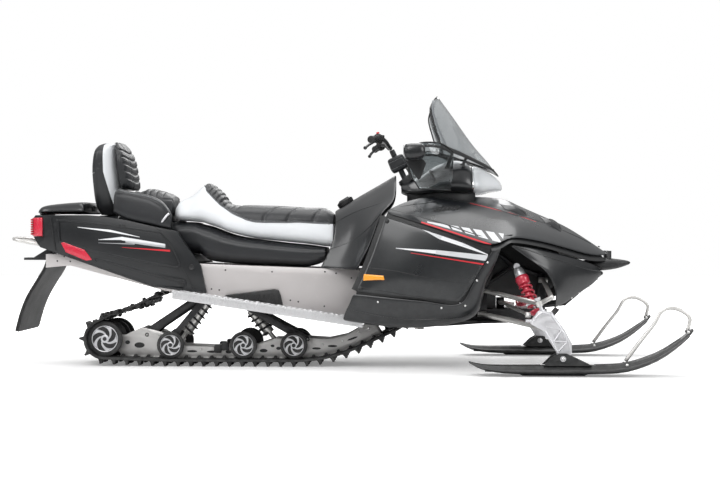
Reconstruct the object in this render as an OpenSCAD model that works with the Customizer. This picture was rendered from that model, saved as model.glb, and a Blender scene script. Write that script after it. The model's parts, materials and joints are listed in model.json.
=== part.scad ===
// Two-seat touring snowmobile: aluminium tunnel, rubber track on a slide-rail skid, two steered
// skis on double-wishbone arms, a tilting hood with windshield, swing-out side panels and a trunk.
// X points forward, Y to the rider's left and Z up. The floor is Z = 0. Lengths are in millimetres.

/* [Track and skid] */
// Width of the rubber track
track_w = 381; // [340:1:420]
// Thickness of the track belt
belt_t = 12; // [10:0.5:16]
// Height of the lugs on the belt
lug_h = 24; // [18:1:32]
// Number of lug rows round the loop
lug_count = 54; // [50:1:58]
// Radius of the rear idler wheels
idler_r = 88; // [80:1:96]
// Radius of the bogie wheels
bogie_r = 68; // [60:1:74]
// Width of every idler and bogie wheel
wheel_w = 24; // [20:1:30]
// Distance of each slide rail from the centre plane
rail_y = 82; // [74:1:92]

/* [Tunnel and boards] */
// Thickness of the tunnel sheet
tunnel_t = 3; // [2:0.5:5]
// Room beside the track inside the tunnel
track_room = 11.5; // [6:0.5:30]
// Width of each running board
board_w = 134; // [110:1:150]
// Height of the rail along the edge of a running board
board_rail_h = 40; // [30:1:46]

/* [Front suspension and skis] */
// Distance of each ski from the centre plane
ski_y = 540; // [520:1:560]
// Width of a ski
ski_w = 150; // [130:1:170]
// Radius of each steering kingpin
kingpin_r = 9; // [8:0.5:11]
// Radius of each ski bolt
ski_bolt_r = 8; // [7:0.5:10]
// Radial clearance of every turning pin
pin_gap = 0.05; // [0.02:0.01:0.1]
// Radius of the wishbone tubes
arm_r = 11; // [9:0.5:13]

/* [Bodywork] */
// Thickness of the moulded panels
skin = 5; // [4:0.5:7]
// Gap round the panels that open
shut_gap = 8; // [6:0.5:10]
// Thickness of the windshield
shield_t = 4; // [3:0.5:6]
// Half the width of the tail body
tail_half_w = 250; // [235:1:265]

/* [Controls and rear] */
// Half the span of the handlebar
bar_half_span = 362; // [340:1:380]
// Radius of the handlebar tube
bar_r = 11; // [10:0.5:13]
// Radius of the tube of the rear bumper and the ski loops
loop_tube_r = 9; // [8:0.5:12]
// Radius of the hole in the hitch plate
hitch_hole_r = 8; // [6:0.5:10]

/* [Hidden] */
$fn = 48;

black = [0.06, 0.06, 0.065];
dark = [0.16, 0.17, 0.18];
silver = [0.78, 0.78, 0.79];
white = [0.92, 0.93, 0.94];
red = [0.75, 0.06, 0.1];

// ---------------------------------------------------------------- helpers

// Point at place t, from 0 to len - 1, on a smooth curve through the points p.
function curve(p, t) =
    let (n = len(p) - 1, i = max(0, min(floor(t), n - 1)), f = t - i,
         a = p[max(i - 1, 0)], b = p[i], c = p[i + 1], d = p[min(i + 2, n)])
    0.5 * (2 * b + (c - a) * f + (2 * a - 5 * b + 4 * c - d) * f * f
           + (3 * b - a - 3 * c + d) * f * f * f);

// Point of a smooth surface through a net, a list of rows of points, at u and v from 0 to 1.
function surface_at(net, u, v) =
    curve([for (row = net) curve(row, v * (len(row) - 1))], u * (len(net) - 1));

function unit(v) = v / norm(v);

function surface_normal(net, u, v) =
    let (e = 0.02, u0 = max(0, u - e), u1 = min(1, u + e), v0 = max(0, v - e), v1 = min(1, v + e))
    unit(cross(surface_at(net, u, v1) - surface_at(net, u, v0),
               surface_at(net, u1, v) - surface_at(net, u0, v)));

// Closed sheet of the given thickness behind the surface of a net.
module sheet(net, nu, nv, thickness) {
    outer = [for (i = [0:nu]) for (j = [0:nv]) surface_at(net, i / nu, j / nv)];
    inner = [for (i = [0:nu]) for (j = [0:nv])
        surface_at(net, i / nu, j / nv) - thickness * surface_normal(net, i / nu, j / nv)];
    m = nv + 1;
    back = (nu + 1) * m;
    skins = [for (i = [0:nu - 1]) for (j = [0:nv - 1]) let (k = i * m + j) each [
        [k, k + m, k + m + 1], [k, k + m + 1, k + 1],
        [back + k, back + k + m + 1, back + k + m], [back + k, back + k + 1, back + k + m + 1]]];
    ends = [for (j = [0:nv - 1]) let (k = nu * m + j) each [
        [j, j + 1, back + j + 1], [j, back + j + 1, back + j],
        [k, back + k + 1, k + 1], [k, back + k, back + k + 1]]];
    sides = [for (i = [0:nu - 1]) let (k = i * m, q = i * m + nv) each [
        [k, back + k + m, k + m], [k, back + k, back + k + m],
        [q, q + m, back + q + m], [q, back + q + m, back + q]]];
    polyhedron(points = concat(outer, inner),
               faces = concat(skins, ends, sides), convexity = 6);
}

// Closed solid through rings of equally many points, with flat ends.
module loft(rings) {
    n = len(rings);
    m = len(rings[0]);
    walls = [for (i = [0:n - 2]) for (j = [0:m - 1]) let (a = i * m + j, b = i * m + (j + 1) % m) each [
        [a, b + m, b], [a, a + m, b + m]]];
    ones = [for (j = [1:m]) 1];
    middles = [ones * rings[0] / m, ones * rings[n - 1] / m];
    first = [for (j = [0:m - 1]) [n * m, j, (j + 1) % m]];
    last = [for (j = [0:m - 1]) [n * m + 1, (n - 1) * m + (j + 1) % m, (n - 1) * m + j]];
    polyhedron(points = concat([for (r = rings) each r], middles), faces = concat(walls, first, last),
               convexity = 6);
}

// Round tube of radius r along a smooth curve through the points p, in n steps.
module tube(p, r, n, sides = 12) {
    span = len(p) - 1;
    loft([for (i = [0:n]) let (t = i / n * span, at = curve(p, t),
        along = unit(curve(p, min(t + 0.05, span)) - curve(p, max(t - 0.05, 0))),
        across = unit(cross(along, abs(along.y) > 0.8 ? [0, 0, 1] : [0, 1, 0])), up = cross(across, along))
        [for (k = [0:sides - 1]) let (a = -360 * k / sides) at + r * (cos(a) * across + sin(a) * up)]]);
}

// Post from point a to the inner side of a sheet, or the outer side where the thickness is 0, at
// u and v of its net.
module tab(net, u, v, a, r, thickness) {
    inward = thickness > 0 ? -1 : 1;
    p = surface_at(net, u, v);
    n = surface_normal(net, u, v) * inward;
    path([a, p + n * (thickness + 16), p + n * (thickness + 0.6)], r);
}

function sgn_pow(v, e) = sign(v) * pow(abs(v), e);

// Ring in a plane of constant x with rounded corners; columns of the row s are
// x, bottom z, top z, half width at the bottom, half width at the top.
function ring(s, points = 28, squareness = 3.2) =
    [for (i = [0:points - 1]) let (a = 360 * (i + 0.5) / points,
        h = sgn_pow(sin(a), 2 / squareness), w = sgn_pow(cos(a), 2 / squareness),
        share = (h + 1) / 2)
        [s[0], w * (s[3] + (s[4] - s[3]) * share), s[1] + (s[2] - s[1]) * share]];

// Solid through ring rows, smoothed to n rings, with its y centre shifted by dy.
module body(rows, n, dy = 0, points = 28, squareness = 3.2) {
    loft([for (i = [0:n]) [for (q = ring(curve(rows, i / n * (len(rows) - 1)), points, squareness))
        q + [0, dy, 0]]]);
}

module mirror_y() {
    children();
    mirror([0, 1, 0]) children();
}

// Round bar from point a to point b.
module bar(a, b, r) {
    d = b - a;
    translate(a) rotate([0, acos(d.z / norm(d)), atan2(d.y, d.x)]) cylinder(r = r, h = norm(d));
}

// Round bar through several points, with ball joints at the bends.
module path(points, r) {
    for (i = [0:len(points) - 2]) bar(points[i], points[i + 1], r);
    for (i = [1:1:len(points) - 2]) translate(points[i]) sphere(r = r * 1.12);
}

// Cylinder centred at p with its axis along Y.
module disc_y(p, r, w) {
    translate([p.x, p.y + w / 2, p.z]) rotate([90, 0, 0]) cylinder(r = r, h = w);
}

// Plate from y0 to y1 with an outline in x and z.
module plate_y(outline, y0, y1) {
    translate([0, y1, 0]) rotate([90, 0, 0]) linear_extrude(y1 - y0) polygon(outline);
}

// ---------------------------------------------------------------- layout

ground = belt_t + lug_h;                    // height of the belt's inner face on the floor
idler = [-1170, ground + 10 + idler_r];     // rear idler axle, x and z
bogies = [[-842, ground + bogie_r], [-479, ground + bogie_r], [-228, ground + bogie_r]];
rail_curve_r = 780;                         // radius of the rails' upward curve at the front
sprocket = [252, 262];
sprocket_r = 76;
carrier = [-740, 375];
carrier_r = 60;
board_rear = [-800, 382];                   // top of the running board at its rear end, x and z
board_front = [120, 245];
tunnel_front_x = 352;
tunnel_w = track_w + 2 * (track_room + tunnel_t);
tunnel_half = tunnel_w / 2;
kingpin = [985, -(ski_y - 40), 230];        // right kingpin, a point on its axis
kingpin_axis = unit([-30, 0, 80]);
kingpin_tilt = atan2(kingpin_axis.x, kingpin_axis.z);
ski_bolt = [1048, -ski_y, 82];
column = [290, 0, 1000];                    // steering column, a point on its axis
column_axis = unit([-0.42, 0, 0.9075]);
hood_hinge = [1336, 562];

// Point on the right kingpin's axis at height z.
function on_kingpin(z) = kingpin + kingpin_axis * (z - kingpin.z) / kingpin_axis.z;
function on_column(z) = column + column_axis * (z - column.z) / column_axis.z;

// ---------------------------------------------------------------- track path

// Wheels that the loop runs round, anticlockwise; columns are x, z, radius.
wheels = [
    [idler.x, idler.y, idler_r],
    [bogies[0].x, bogies[0].y, bogie_r],
    [bogies[2].x, ground + rail_curve_r, rail_curve_r],
    [sprocket.x, sprocket.y, sprocket_r],
    [carrier.x, carrier.y, carrier_r],
];
function wheel(i) = wheels[(i + len(wheels)) % len(wheels)];
// Direction, in degrees, of the outward normal on the run from wheel i to the next.
function run_normal(i) =
    let (a = wheel(i), b = wheel(i + 1), d = [b.x - a.x, b.y - a.y])
    atan2(d.y, d.x) - 90 + asin((a[2] - b[2]) / norm(d));
function turn(i) = let (d = run_normal(i) - run_normal(i - 1)) d - 360 * floor(d / 360);
arc_steps = 12;
// Corner points of the loop with the direction of their normal; columns are x, z, angle.
loop_corners = [for (i = [0:len(wheels) - 1]) for (k = [0:arc_steps])
    let (a = run_normal(i - 1) + turn(i) * k / arc_steps, w = wheel(i))
    [w.x + w[2] * cos(a), w.y + w[2] * sin(a), a]];
function add_up(list, i = 0, sum = 0) =
    i >= len(list) ? [] : concat([sum + list[i]], add_up(list, i + 1, sum + list[i]));
corner_count = len(loop_corners);
steps = [for (i = [0:corner_count - 1]) let (a = loop_corners[i], b = loop_corners[(i + 1) % corner_count])
    norm([b.x - a.x, b.y - a.y])];
reached = concat([0], add_up(steps));
loop_length = reached[corner_count];
// Unwrapped angle of corner i, so that it only grows along the loop.
angles = [for (i = [0:corner_count]) let (a = loop_corners[i % corner_count][2],
    base = loop_corners[0][2], d = a - base) base + (i == corner_count ? 360 : d - 360 * floor(d / 360))];
// Point at distance s along the loop, moved out by h.
function loop_at(s, h) =
    let (q = s - loop_length * floor(s / loop_length),
         x = lookup(q, [for (i = [0:corner_count]) [reached[i], loop_corners[i % corner_count].x]]),
         z = lookup(q, [for (i = [0:corner_count]) [reached[i], loop_corners[i % corner_count].y]]),
         a = lookup(q, [for (i = [0:corner_count]) [reached[i], angles[i]]]))
    [x + h * cos(a), z + h * sin(a)];

module track() {
    pitch = loop_length / lug_count;
    lug_base = 26;
    lug_tip = 9;
    outline = [for (k = [0:lug_count - 1]) let (s = (k + 0.5) * pitch) each [
        loop_at(s - pitch * 0.36, belt_t), loop_at(s - lug_base / 2, belt_t),
        loop_at(s - lug_tip / 2, belt_t + lug_h), loop_at(s + lug_tip / 2, belt_t + lug_h),
        loop_at(s + lug_base / 2, belt_t), loop_at(s + pitch * 0.36, belt_t)]];
    inside = [for (c = loop_corners) [c.x + 0.6 * cos(c[2]), c.y + 0.6 * sin(c[2])]];
    color(black) difference() {
        plate_y(outline, -track_w / 2, track_w / 2);
        plate_y(inside, -track_w / 2 - 1, track_w / 2 + 1);
    }
}

// ---------------------------------------------------------------- rear skid

rail_t = 12;
// Upper outline of a rail from its front tip to its rear end; columns are x, z.
rail_top = [[175, 205], [120, 200], [30, 150], [-60, 130], [-190, 138], [-330, 132], [-430, 96],
            [-640, 90], [-800, 96], [-900, 165], [-1000, 188], [-1080, 150], [-1230, 150],
            [-1230, 108], [-1130, 92]];

module rails() {
    bottom = [for (x = [-1100, -842]) [x, ground + (x < -900 ? 9 : 1)]];
    front = [for (a = [-90:2:-68]) [bogies[2].x + (rail_curve_r - 1) * cos(a),
                                   ground + rail_curve_r + (rail_curve_r - 1) * sin(a)]];
    color(silver) mirror_y() difference() {
        plate_y(concat(bottom, front, [[205, 158]], rail_top), -rail_y - rail_t / 2, -rail_y + rail_t / 2);
        for (b = concat([idler], bogies)) disc_y([b.x, -rail_y, b.y], axle_r + 0.3, 60);
        for (p = [rear_arm_foot, front_arm_foot]) disc_y([p.x, -rail_y, p.y], axle_r + 0.3, 60);
    }
}

axle_r = 10;
wheel_y = 148;        // distance of the outer wheels from the centre plane
inner_wheel_y = 48;   // distance of the inner wheels from the centre plane

// Axle with a wheel at each named distance either side of the centre plane.
module axle(p, r, places) {
    disc_y([p.x, 0, p.y], axle_r, 2 * max(places) + wheel_w);
    for (y = places) for (s = [-1, 1]) disc_y([p.x, s * y, p.y], r - 0.3, wheel_w);
}

module rear_idler_wheels() {
    color(dark) axle(idler, idler_r, [inner_wheel_y, wheel_y]);
}

module bogie_wheels() {
    color(dark) {
        for (b = bogies) axle(b, bogie_r, [wheel_y]);
        axle(carrier, carrier_r, [110]);
    }
}

module drive_axle() {
    drum_w = 52;
    color(dark) {
        disc_y([sprocket.x, 0, sprocket.y], 16, tunnel_w - 2 * tunnel_t - 1);
        for (s = [-1, 1]) disc_y([sprocket.x, s * 70, sprocket.y], sprocket_r - 0.5, drum_w);
    }
}

rear_arm_foot = [-972, 150];
rear_arm_top = [-640, 372];
front_arm_foot = [-165, 130];
front_arm_top = [-482, 300];
arm_inner_y = 60;     // the arms run between the rails
arm_tube_r = 14;

// Front and rear arms that hang the skid from the tunnel.
module torque_arms() {
    color(black) for (e = [[rear_arm_foot, rear_arm_top], [front_arm_foot, front_arm_top]]) {
        disc_y([e[0].x, 0, e[0].y], axle_r, 2 * rail_y + rail_t);
        disc_y([e[1].x, 0, e[1].y], arm_tube_r, tunnel_w - 2 * tunnel_t - 0.6);
        for (s = [-1, 1])
            bar([e[0].x, s * arm_inner_y, e[0].y], [e[1].x, s * arm_inner_y, e[1].y], arm_tube_r - 1);
    }
}

// The two coil-over shocks of the skid; each stands on a shaft between the rails and ends at an
// arm's top tube.
module skid_shocks() {
    color(silver) for (e = [[[-815, 116], rear_arm_top], [[-330, 116], front_arm_top]]) {
        low = [e[0].x, 0, e[0].y];
        top = [e[1].x, 0, e[1].y];
        along = unit(top - low);
        tip = top - along * (arm_tube_r + 0.3);
        bar(low, tip, 11);
        bar(low + along * 50, tip - along * 22, 27);
        disc_y(low, 12, 2 * rail_y - rail_t - 0.6);
    }
}

// ---------------------------------------------------------------- tunnel and boards

function board_z(x) =
    board_rear.y + (board_front.y - board_rear.y) * (x - board_rear.x) / (board_front.x - board_rear.x);

// Roof line of the tunnel from front to rear; columns are x, z.
tunnel_roof = [[tunnel_front_x, 430], [240, 462], [100, 480], [-670, 508], [-1250, 560], [-1452, 556]];
tunnel_skirt = [[-1452, 489], [-1330, 500], [-860, board_z(-800) - 6], [-800, board_z(-800) - 14],
                [tunnel_front_x, board_z(tunnel_front_x) - 14]];

module tunnel() {
    roof_inner = [for (p = tunnel_roof) [p.x + (p.x == tunnel_front_x ? 10 : 0) - (p.x == -1452 ? 10 : 0), p.y - tunnel_t]];
    color(silver) difference() {
        plate_y(concat(tunnel_roof, tunnel_skirt), -tunnel_half, tunnel_half);
        plate_y(concat(roof_inner, [[-1500, 400], [-1300, 100], [400, 100]]),
                -tunnel_half + tunnel_t, tunnel_half - tunnel_t);
    }
}

module running_boards() {
    board_t = 4;
    x0 = board_rear.x;
    x1 = board_front.x;
    outer = tunnel_half + board_w;
    color(silver) mirror_y() {
        plate_y([[x0, board_z(x0) - board_t], [x0, board_z(x0)], [x1, board_z(x1)], [x1, board_z(x1) - board_t]],
                -outer, -tunnel_half - 0.3);
        plate_y([[x0, board_z(x0) - board_rail_h], [x0, board_z(x0) + 2], [x1, board_z(x1) + 2],
                 [x1, board_z(x1) - board_rail_h]], -outer, -outer + 16);
    }
}

// ---------------------------------------------------------------- front structure

// Right-hand pivots of the wishbones, shock and steering; columns are x, y, z.
upper_rear = [700, -150, 380];
upper_front = [1000, -150, 430];
lower_rear = [700, -150, 262];
lower_front = [985, -150, 240];
shock_top = [858, -300, 500];
shock_foot = [960, -426, 246];
upper_eye_z = 330;
lower_eye_z = 212;
eye_h = 24;
eye_r = kingpin_r + 8;
bulkhead_y = 136;     // half width of the bulkhead that the wishbones pivot on
beam_z = [228, 268];  // lower and upper face of the beams between the tunnel and the bulkhead
link_z = 316;         // height of the sliding centre link
link_r = 12;

// Cylinder along the right kingpin's axis, centred at height z.
module on_pin(z, r, h) {
    translate(on_kingpin(z)) rotate([0, kingpin_tilt, 0]) cylinder(r = r, h = h, center = true);
}

// Cylinder along the steering column's axis, centred at height z.
module on_shaft(z, r, h) {
    translate(on_column(z)) rotate([0, atan2(column_axis.x, column_axis.z), 0])
        cylinder(r = r, h = h, center = true);
}

module front_frame() {
    shock_y = -shock_top.y - 15.3;
    color(dark) {
        difference() {
            union() {
                // Bulkhead that the wishbones pivot on.
                translate([680, -bulkhead_y, 225]) cube([340, 2 * bulkhead_y, 60]);
                translate([690, -bulkhead_y, 280]) cube([36, 2 * bulkhead_y, 130]);
                translate([975, -bulkhead_y, 280]) cube([36, 2 * bulkhead_y, 180]);
                // Guide of the centre link.
                translate([780, -12, 280]) cube([40, 24, link_z - 280 + link_r + 10]);
                // Beams back to the tunnel's front end.
                mirror_y() translate([0, 0, beam_z[0]]) linear_extrude(beam_z[1] - beam_z[0])
                    polygon([[tunnel_front_x + 0.3, -tunnel_half + 5], [tunnel_front_x + 0.3, -tunnel_half - 22],
                             [682, -bulkhead_y + 2], [682, -bulkhead_y + 40]]);
            }
            disc_y([800, 0, link_z], link_r + pin_gap, 60);
        }
        // Shock tower and the tubes that brace it to the steering hoop.
        disc_y([shock_top.x, 0, shock_top.z], 16, 2 * shock_y);
        for (s = [-1, 1]) {
            bar([708, s * 110, 400], [shock_top.x, s * 150, shock_top.z], 12);
            bar([993, s * 110, 450], [shock_top.x, s * 150, shock_top.z], 12);
            bar([shock_top.x, s * 150, shock_top.z], [432, s * 60, 815], 12);
        }
        difference() {
            union() {
                bar([432, -72, 815], [432, 72, 815], 14);
                on_shaft(815, column_r + 14, 40);
                translate([388, -12, 804]) cube([44, 24, 22]);
            }
            on_shaft(815, column_r + pin_gap, 80);
        }
        // Nose tubes that carry the front bumper and the fairings.
        for (s = [-1, 1]) {
            path([[1000, s * 110, 300], [1110, s * 110, 312], [1290, s * 90, 462]], 10);
        }
        disc_y([1290, 0, 462], 10, 200);
        mirror_y() tab(fairing_net, 6 / 14, 4 / 10, [1150, -106, 345], 8, skin);
    }
}

module engine() {
    color(silver) translate([400, -205, beam_z[1] + 0.3]) cube([255, 410, 320]);
}

module upper_arms() {
    eye = on_kingpin(upper_eye_z);
    color(silver) mirror_y() difference() {
        union() {
            bar(upper_rear, eye, arm_r);
            path([upper_front, [1012, -430, 356], eye], arm_r);
            bar(upper_rear - [22, 0, 0], upper_rear + [22, 0, 0], 14);
            bar(upper_front - [22, 0, 0], upper_front + [22, 0, 0], 14);
            on_pin(upper_eye_z, eye_r, eye_h);
        }
        on_pin(upper_eye_z, kingpin_r + pin_gap, 60);
        translate([600, -inner_clear, 200]) cube([500, inner_clear, 400]);
    }
}
inner_clear = bulkhead_y + 0.3;    // the wishbones stay outside this

module lower_arms() {
    eye = on_kingpin(lower_eye_z);
    color(silver) mirror_y() difference() {
        union() {
            bar(lower_rear, eye, arm_r + 2);
            bar(lower_front, eye, arm_r + 2);
            bar(lower_rear - [22, 0, 0], lower_rear + [22, 0, 0], 15);
            bar(lower_front - [22, 0, 0], lower_front + [22, 0, 0], 15);
            // Seat of the shock, between the two tubes.
            translate([shock_foot.x - 32, shock_foot.y - 14, 212]) cube([60, 28, shock_foot.z - 212 - 14.3]);
            on_pin(lower_eye_z, eye_r, eye_h);
        }
        on_pin(lower_eye_z, kingpin_r + pin_gap, 60);
        translate([600, -inner_clear, 100]) cube([500, inner_clear, 400]);
    }
}

// Coil-over shocks of the skis: damper body, shaft and the spring's outer shape.
module ski_shocks() {
    along = unit(shock_foot - shock_top);
    color(red) mirror_y() {
        bar(shock_top + along * 6, shock_foot - along * 6, 9);
        bar(shock_top + along * 22, shock_top + along * 62, 26);
        bar(shock_top + along * 61, shock_foot - along * 48, 33);
        disc_y(shock_top, 16, 30);
        disc_y(shock_foot, 14, 24);
    }
}

// ---------------------------------------------------------------- steering and skis

arm_tip = [896, kingpin.y + 10, 258];    // end of the right steering arm
eye_lift = 8;         // rod eye above the arm, which tips upward as the spindle turns
column_r = 14;

// Track rods and centre link, which slide sideways together.
module steering_linkage() {
    eye = arm_tip + [0, 0, eye_lift];
    color(silver) {
        mirror_y() {
            bar([800, -76, link_z], eye + [0, 6, 13], 8);
            translate(eye) cylinder(r = 13, h = 24);
            translate([800, -76, link_z]) sphere(r = 16);
        }
        disc_y([800, 0, link_z], link_r, 152);
    }
}

// Right spindle: a cast truss with its kingpin, steering arm, foot and ski bolt.
module spindle() {
    t = 30;
    y0 = kingpin.y - 36;
    low = on_kingpin(lower_eye_z - eye_h / 2 - 6);
    color(silver) difference() {
        union() {
            on_pin((upper_eye_z + lower_eye_z) / 2, kingpin_r, upper_eye_z - lower_eye_z + 66);
            on_pin((upper_eye_z + lower_eye_z) / 2, eye_r, 62);
            on_pin(upper_eye_z + 22, 15, 12);
            // Web outside the wishbone eyes, from the steering arm to the foot.
            plate_y([[900, 246], [940, 300], [1000, 296], [1060, 212], [1092, 150], [1092, 100],
                     [1062, 68], [1034, 68], [1022, 110], [960, 208], [905, 238]], y0 - t / 2, y0 + t / 2);
            // Bridges from the web to the kingpin above and below the lower eye.
            translate([955, y0, 244]) cube([42, 36, 44]);
            translate([low.x - 22, y0, low.z - 26]) cube([48, 48, 22]);
            // Steering arm.
            translate([arm_tip.x - 13, y0, arm_tip.z - 12]) cube([60, 40, 12]);
            translate([arm_tip.x + 2, arm_tip.y, arm_tip.z - 12]) cylinder(r = 15, h = 12);
            // Foot and ski bolt.
            disc_y([ski_bolt.x, -ski_y, ski_bolt.z], 19, 2 * (ear_y - ear_t / 2) - 4);
            disc_y([ski_bolt.x, -ski_y, ski_bolt.z], ski_bolt_r, 2 * (ear_y + ear_t / 2 + 8));
            for (s = [-1, 1]) disc_y([ski_bolt.x, -ski_y + s * (ear_y + ear_t / 2 + 4.5), ski_bolt.z], 13, 8);
        }
        // Lightening windows in the web.
        plate_y([[966, 268], [996, 268], [1010, 246], [975, 238]], y0 - t, y0 - t / 2 + 8);
        plate_y([[990, 215], [1040, 215], [1062, 160], [1026, 150]], y0 - t, y0 - t / 2 + 8);
    }
}

ear_y = 38;           // distance of the saddle's ears from the ski's middle
ear_t = 12;

// Sole of a ski from tail to tip; columns are x, z of the bottom, height, share of the half width.
ski_rows = [
    [619, 58, 8, 0.25],
    [680, 30, 22, 0.8],
    [780, 14, 34, 1],
    [950, 10, 38, 1],
    [1048, 10, 38, 1],
    [1200, 12, 38, 1],
    [1340, 22, 38, 1],
    [1480, 72, 34, 0.96],
    [1590, 148, 26, 0.8],
    [1645, 205, 16, 0.45],
];
ski_steps = 27;

// Section of a ski: a flat sole with a raised edge each side of a ridge.
function ski_section(s) =
    let (w = ski_w / 2 * s[3], h = s[2])
    [for (p = [[-1, 0.36], [-0.55, 0], [0.55, 0], [1, 0.36], [0.9, 0.58], [0.6, 0.56], [0.46, 0.98],
               [-0.46, 0.98], [-0.6, 0.56], [-0.9, 0.58]])
        [s[0], p.x * w, s[1] + p.y * h]];

module ski() {
    // Blade.
    color(black) translate([0, -ski_y, 0])
        loft([for (i = [0:ski_steps]) ski_section(curve(ski_rows, i / ski_steps * (len(ski_rows) - 1)))]);
    // Saddle that turns on the ski bolt.
    color(silver) difference() {
        union() {
            for (s = [-1, 1])
                plate_y([[960, 49.6], [1000, 90], [1030, 106], [1066, 106], [1100, 88], [1180, 49.6]],
                        -ski_y + s * ear_y - ear_t / 2, -ski_y + s * ear_y + ear_t / 2);
            translate([975, -ski_y - ear_y, 49.6]) cube([190, 2 * ear_y, 5]);
        }
        disc_y([ski_bolt.x, -ski_y, ski_bolt.z], ski_bolt_r + pin_gap, 140);
    }
    // Wear bar under the sole.
    color(silver) translate([0, -ski_y, 0]) plate_y([[850, 9], [866, 0], [1150, 0], [1170, 9]], -6, 6);
}

module ski_loop() {
    color(silver) tube([[1339, -ski_y, 68.6], [1405, -ski_y, 158], [1470, -ski_y, 240], [1505, -ski_y, 298],
        [1550, -ski_y, 314], [1606, -ski_y, 296], [1634, -ski_y, 262], [1622, -ski_y, 210.8]],
        loop_tube_r, 30);
}

// ---------------------------------------------------------------- body panels
// The nets hold the right-hand half, with y below 0. Each row runs from the top or the centre
// down to the lower edge, and the rows follow each other from the rear to the front.

// Hood, right half; each row runs from the centre line to the lower edge.
hood_half = [
    [[560, 0, 842], [505, -150, 838], [420, -255, 836], [317, -320, 810], [222, -372, 762]],
    [[690, 0, 845], [660, -120, 825], [600, -236, 800], [540, -345, 745], [470, -432, 684]],
    [[817, 0, 832], [815, -110, 806], [800, -222, 764], [760, -345, 690], [712, -446, 604]],
    [[880, 0, 804], [880, -105, 786], [880, -212, 745], [855, -330, 700], [825, -430, 640]],
    [[985, 0, 756], [985, -95, 748], [990, -184, 716], [978, -290, 672], [968, -368, 622]],
    [[1118, 0, 696], [1118, -75, 692], [1120, -138, 668], [1105, -225, 634], [1093, -292, 590]],
    [[1240, 0, 620], [1238, -50, 620], [1236, -92, 612], [1230, -150, 586], [1222, -196, 556]],
    [[1327, 0, 562], [1324, -34, 562], [1322, -58, 560], [1318, -80, 556], [1312, -96, 552]],
];
function mirrored_row(row) = concat([for (i = [len(row) - 1:-1:1]) [row[i].x, -row[i].y, row[i].z]], row);

module hood() {
    color(dark) difference() {
        union() {
            sheet([for (row = hood_half) mirrored_row(row)], 20, 20, skin);
            disc_y([hood_hinge.x, 0, hood_hinge.y], hinge_pin_r + 5, 2 * hood_knuckle_y);
        }
        disc_y([hood_hinge.x, 0, hood_hinge.y], hinge_pin_r + pin_gap, 2 * hood_knuckle_y + 20);
    }
}

// Side panel, right; rows run from the top edge to the bottom edge.
panel_net = [
    [[230, -378, 742], [196, -398, 640], [160, -408, 540], [122, -414, 450], [92, -418, 384]],
    [[360, -414, 698], [330, -428, 610], [300, -440, 520], [270, -444, 440], [250, -432, 366]],
    [[545, -440, 636], [505, -446, 560], [465, -450, 480], [430, -450, 410], [410, -436, 350]],
    [[724, -444, 577], [687, -444, 514], [648, -444, 450], [611, -444, 388], [580, -444, 334]],
];
panel_hinge = [[585.5, -441.5, 336.9], [728.5, -441.5, 578.9]];    // ends of the right panel's hinge line

module side_panel() {
    color(dark) {
        sheet(panel_net, 14, 10, skin);
        bar(panel_hinge[0] * 0.9 + panel_hinge[1] * 0.1, panel_hinge[0] * 0.1 + panel_hinge[1] * 0.9, 4.2);
    }
}

// Belly pan, right: a strip below the side panel that turns up in front of it. Rows run from the
// side panel's edge to the outer edge.
belly_net = [
    [[76, -414, 372], [60, -410, 330], [38, -400, 285], [26, -384, 250], [30, -350, 239]],
    [[250, -428, 354], [252, -426, 310], [258, -414, 262], [266, -386, 222], [272, -342, 206]],
    [[415, -434, 338], [425, -430, 300], [438, -418, 260], [450, -385, 228], [460, -318, 209]],
    [[582, -444, 322], [602, -440, 300], [628, -428, 282], [648, -405, 270], [662, -370, 262]],
    [[647, -444, 432], [664, -444, 425], [684, -436, 420], [700, -418, 415], [702, -385, 412]],
    [[701, -444, 522], [715, -444, 515], [733, -436, 510], [745, -418, 506], [746, -388, 504]],
    [[741, -444, 590], [755, -444, 594], [772, -438, 602], [784, -424, 608], [786, -396, 610]],
];

// Plate that closes the body from below, ahead of the track; columns are x, half width, z.
skid_plate_rows = [[380, 321, 212], [470, 321.5, 204], [600, 300, 210], [680, 255, 214], [760, 200, 212],
                   [880, 140, 213], [1000, 120, 212], [1030, 118, 217], [1065, 116, 248], [1090, 112, 280]];

module belly_pans() {
    net = [for (r = skid_plate_rows) [for (k = [-1:0.5:1]) [r[0], k * r[1], r[2] + 6 * k * k]]];
    color(black) {
        mirror_y() sheet(belly_net, 18, 8, skin);
        sheet(net, 14, 6, 4);
    }
}

// Nose fairing, right: rows run from the upper edge to the lower edge.
fairing_net = [
    [[812, -424, 606], [905, -404, 540], [1000, -388, 472], [1042, -366, 370], [1034, -332, 300]],
    [[930, -384, 592], [990, -376, 520], [1050, -352, 450], [1082, -322, 375], [1085, -290, 318]],
    [[1070, -304, 560], [1105, -304, 508], [1130, -290, 450], [1150, -262, 400], [1160, -232, 362]],
    [[1200, -212, 524], [1215, -210, 490], [1228, -200, 460], [1238, -184, 430], [1244, -168, 412]],
    [[1284, -124, 488], [1286, -124, 480], [1288, -122, 472], [1290, -118, 464], [1291, -114, 458]],
];

module nose_fairings() {
    color(black) mirror_y() sheet(fairing_net, 14, 10, skin);
}

hinge_pin_r = 6;
hood_knuckle_y = 50;  // half width of the hood's hinge knuckle

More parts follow.
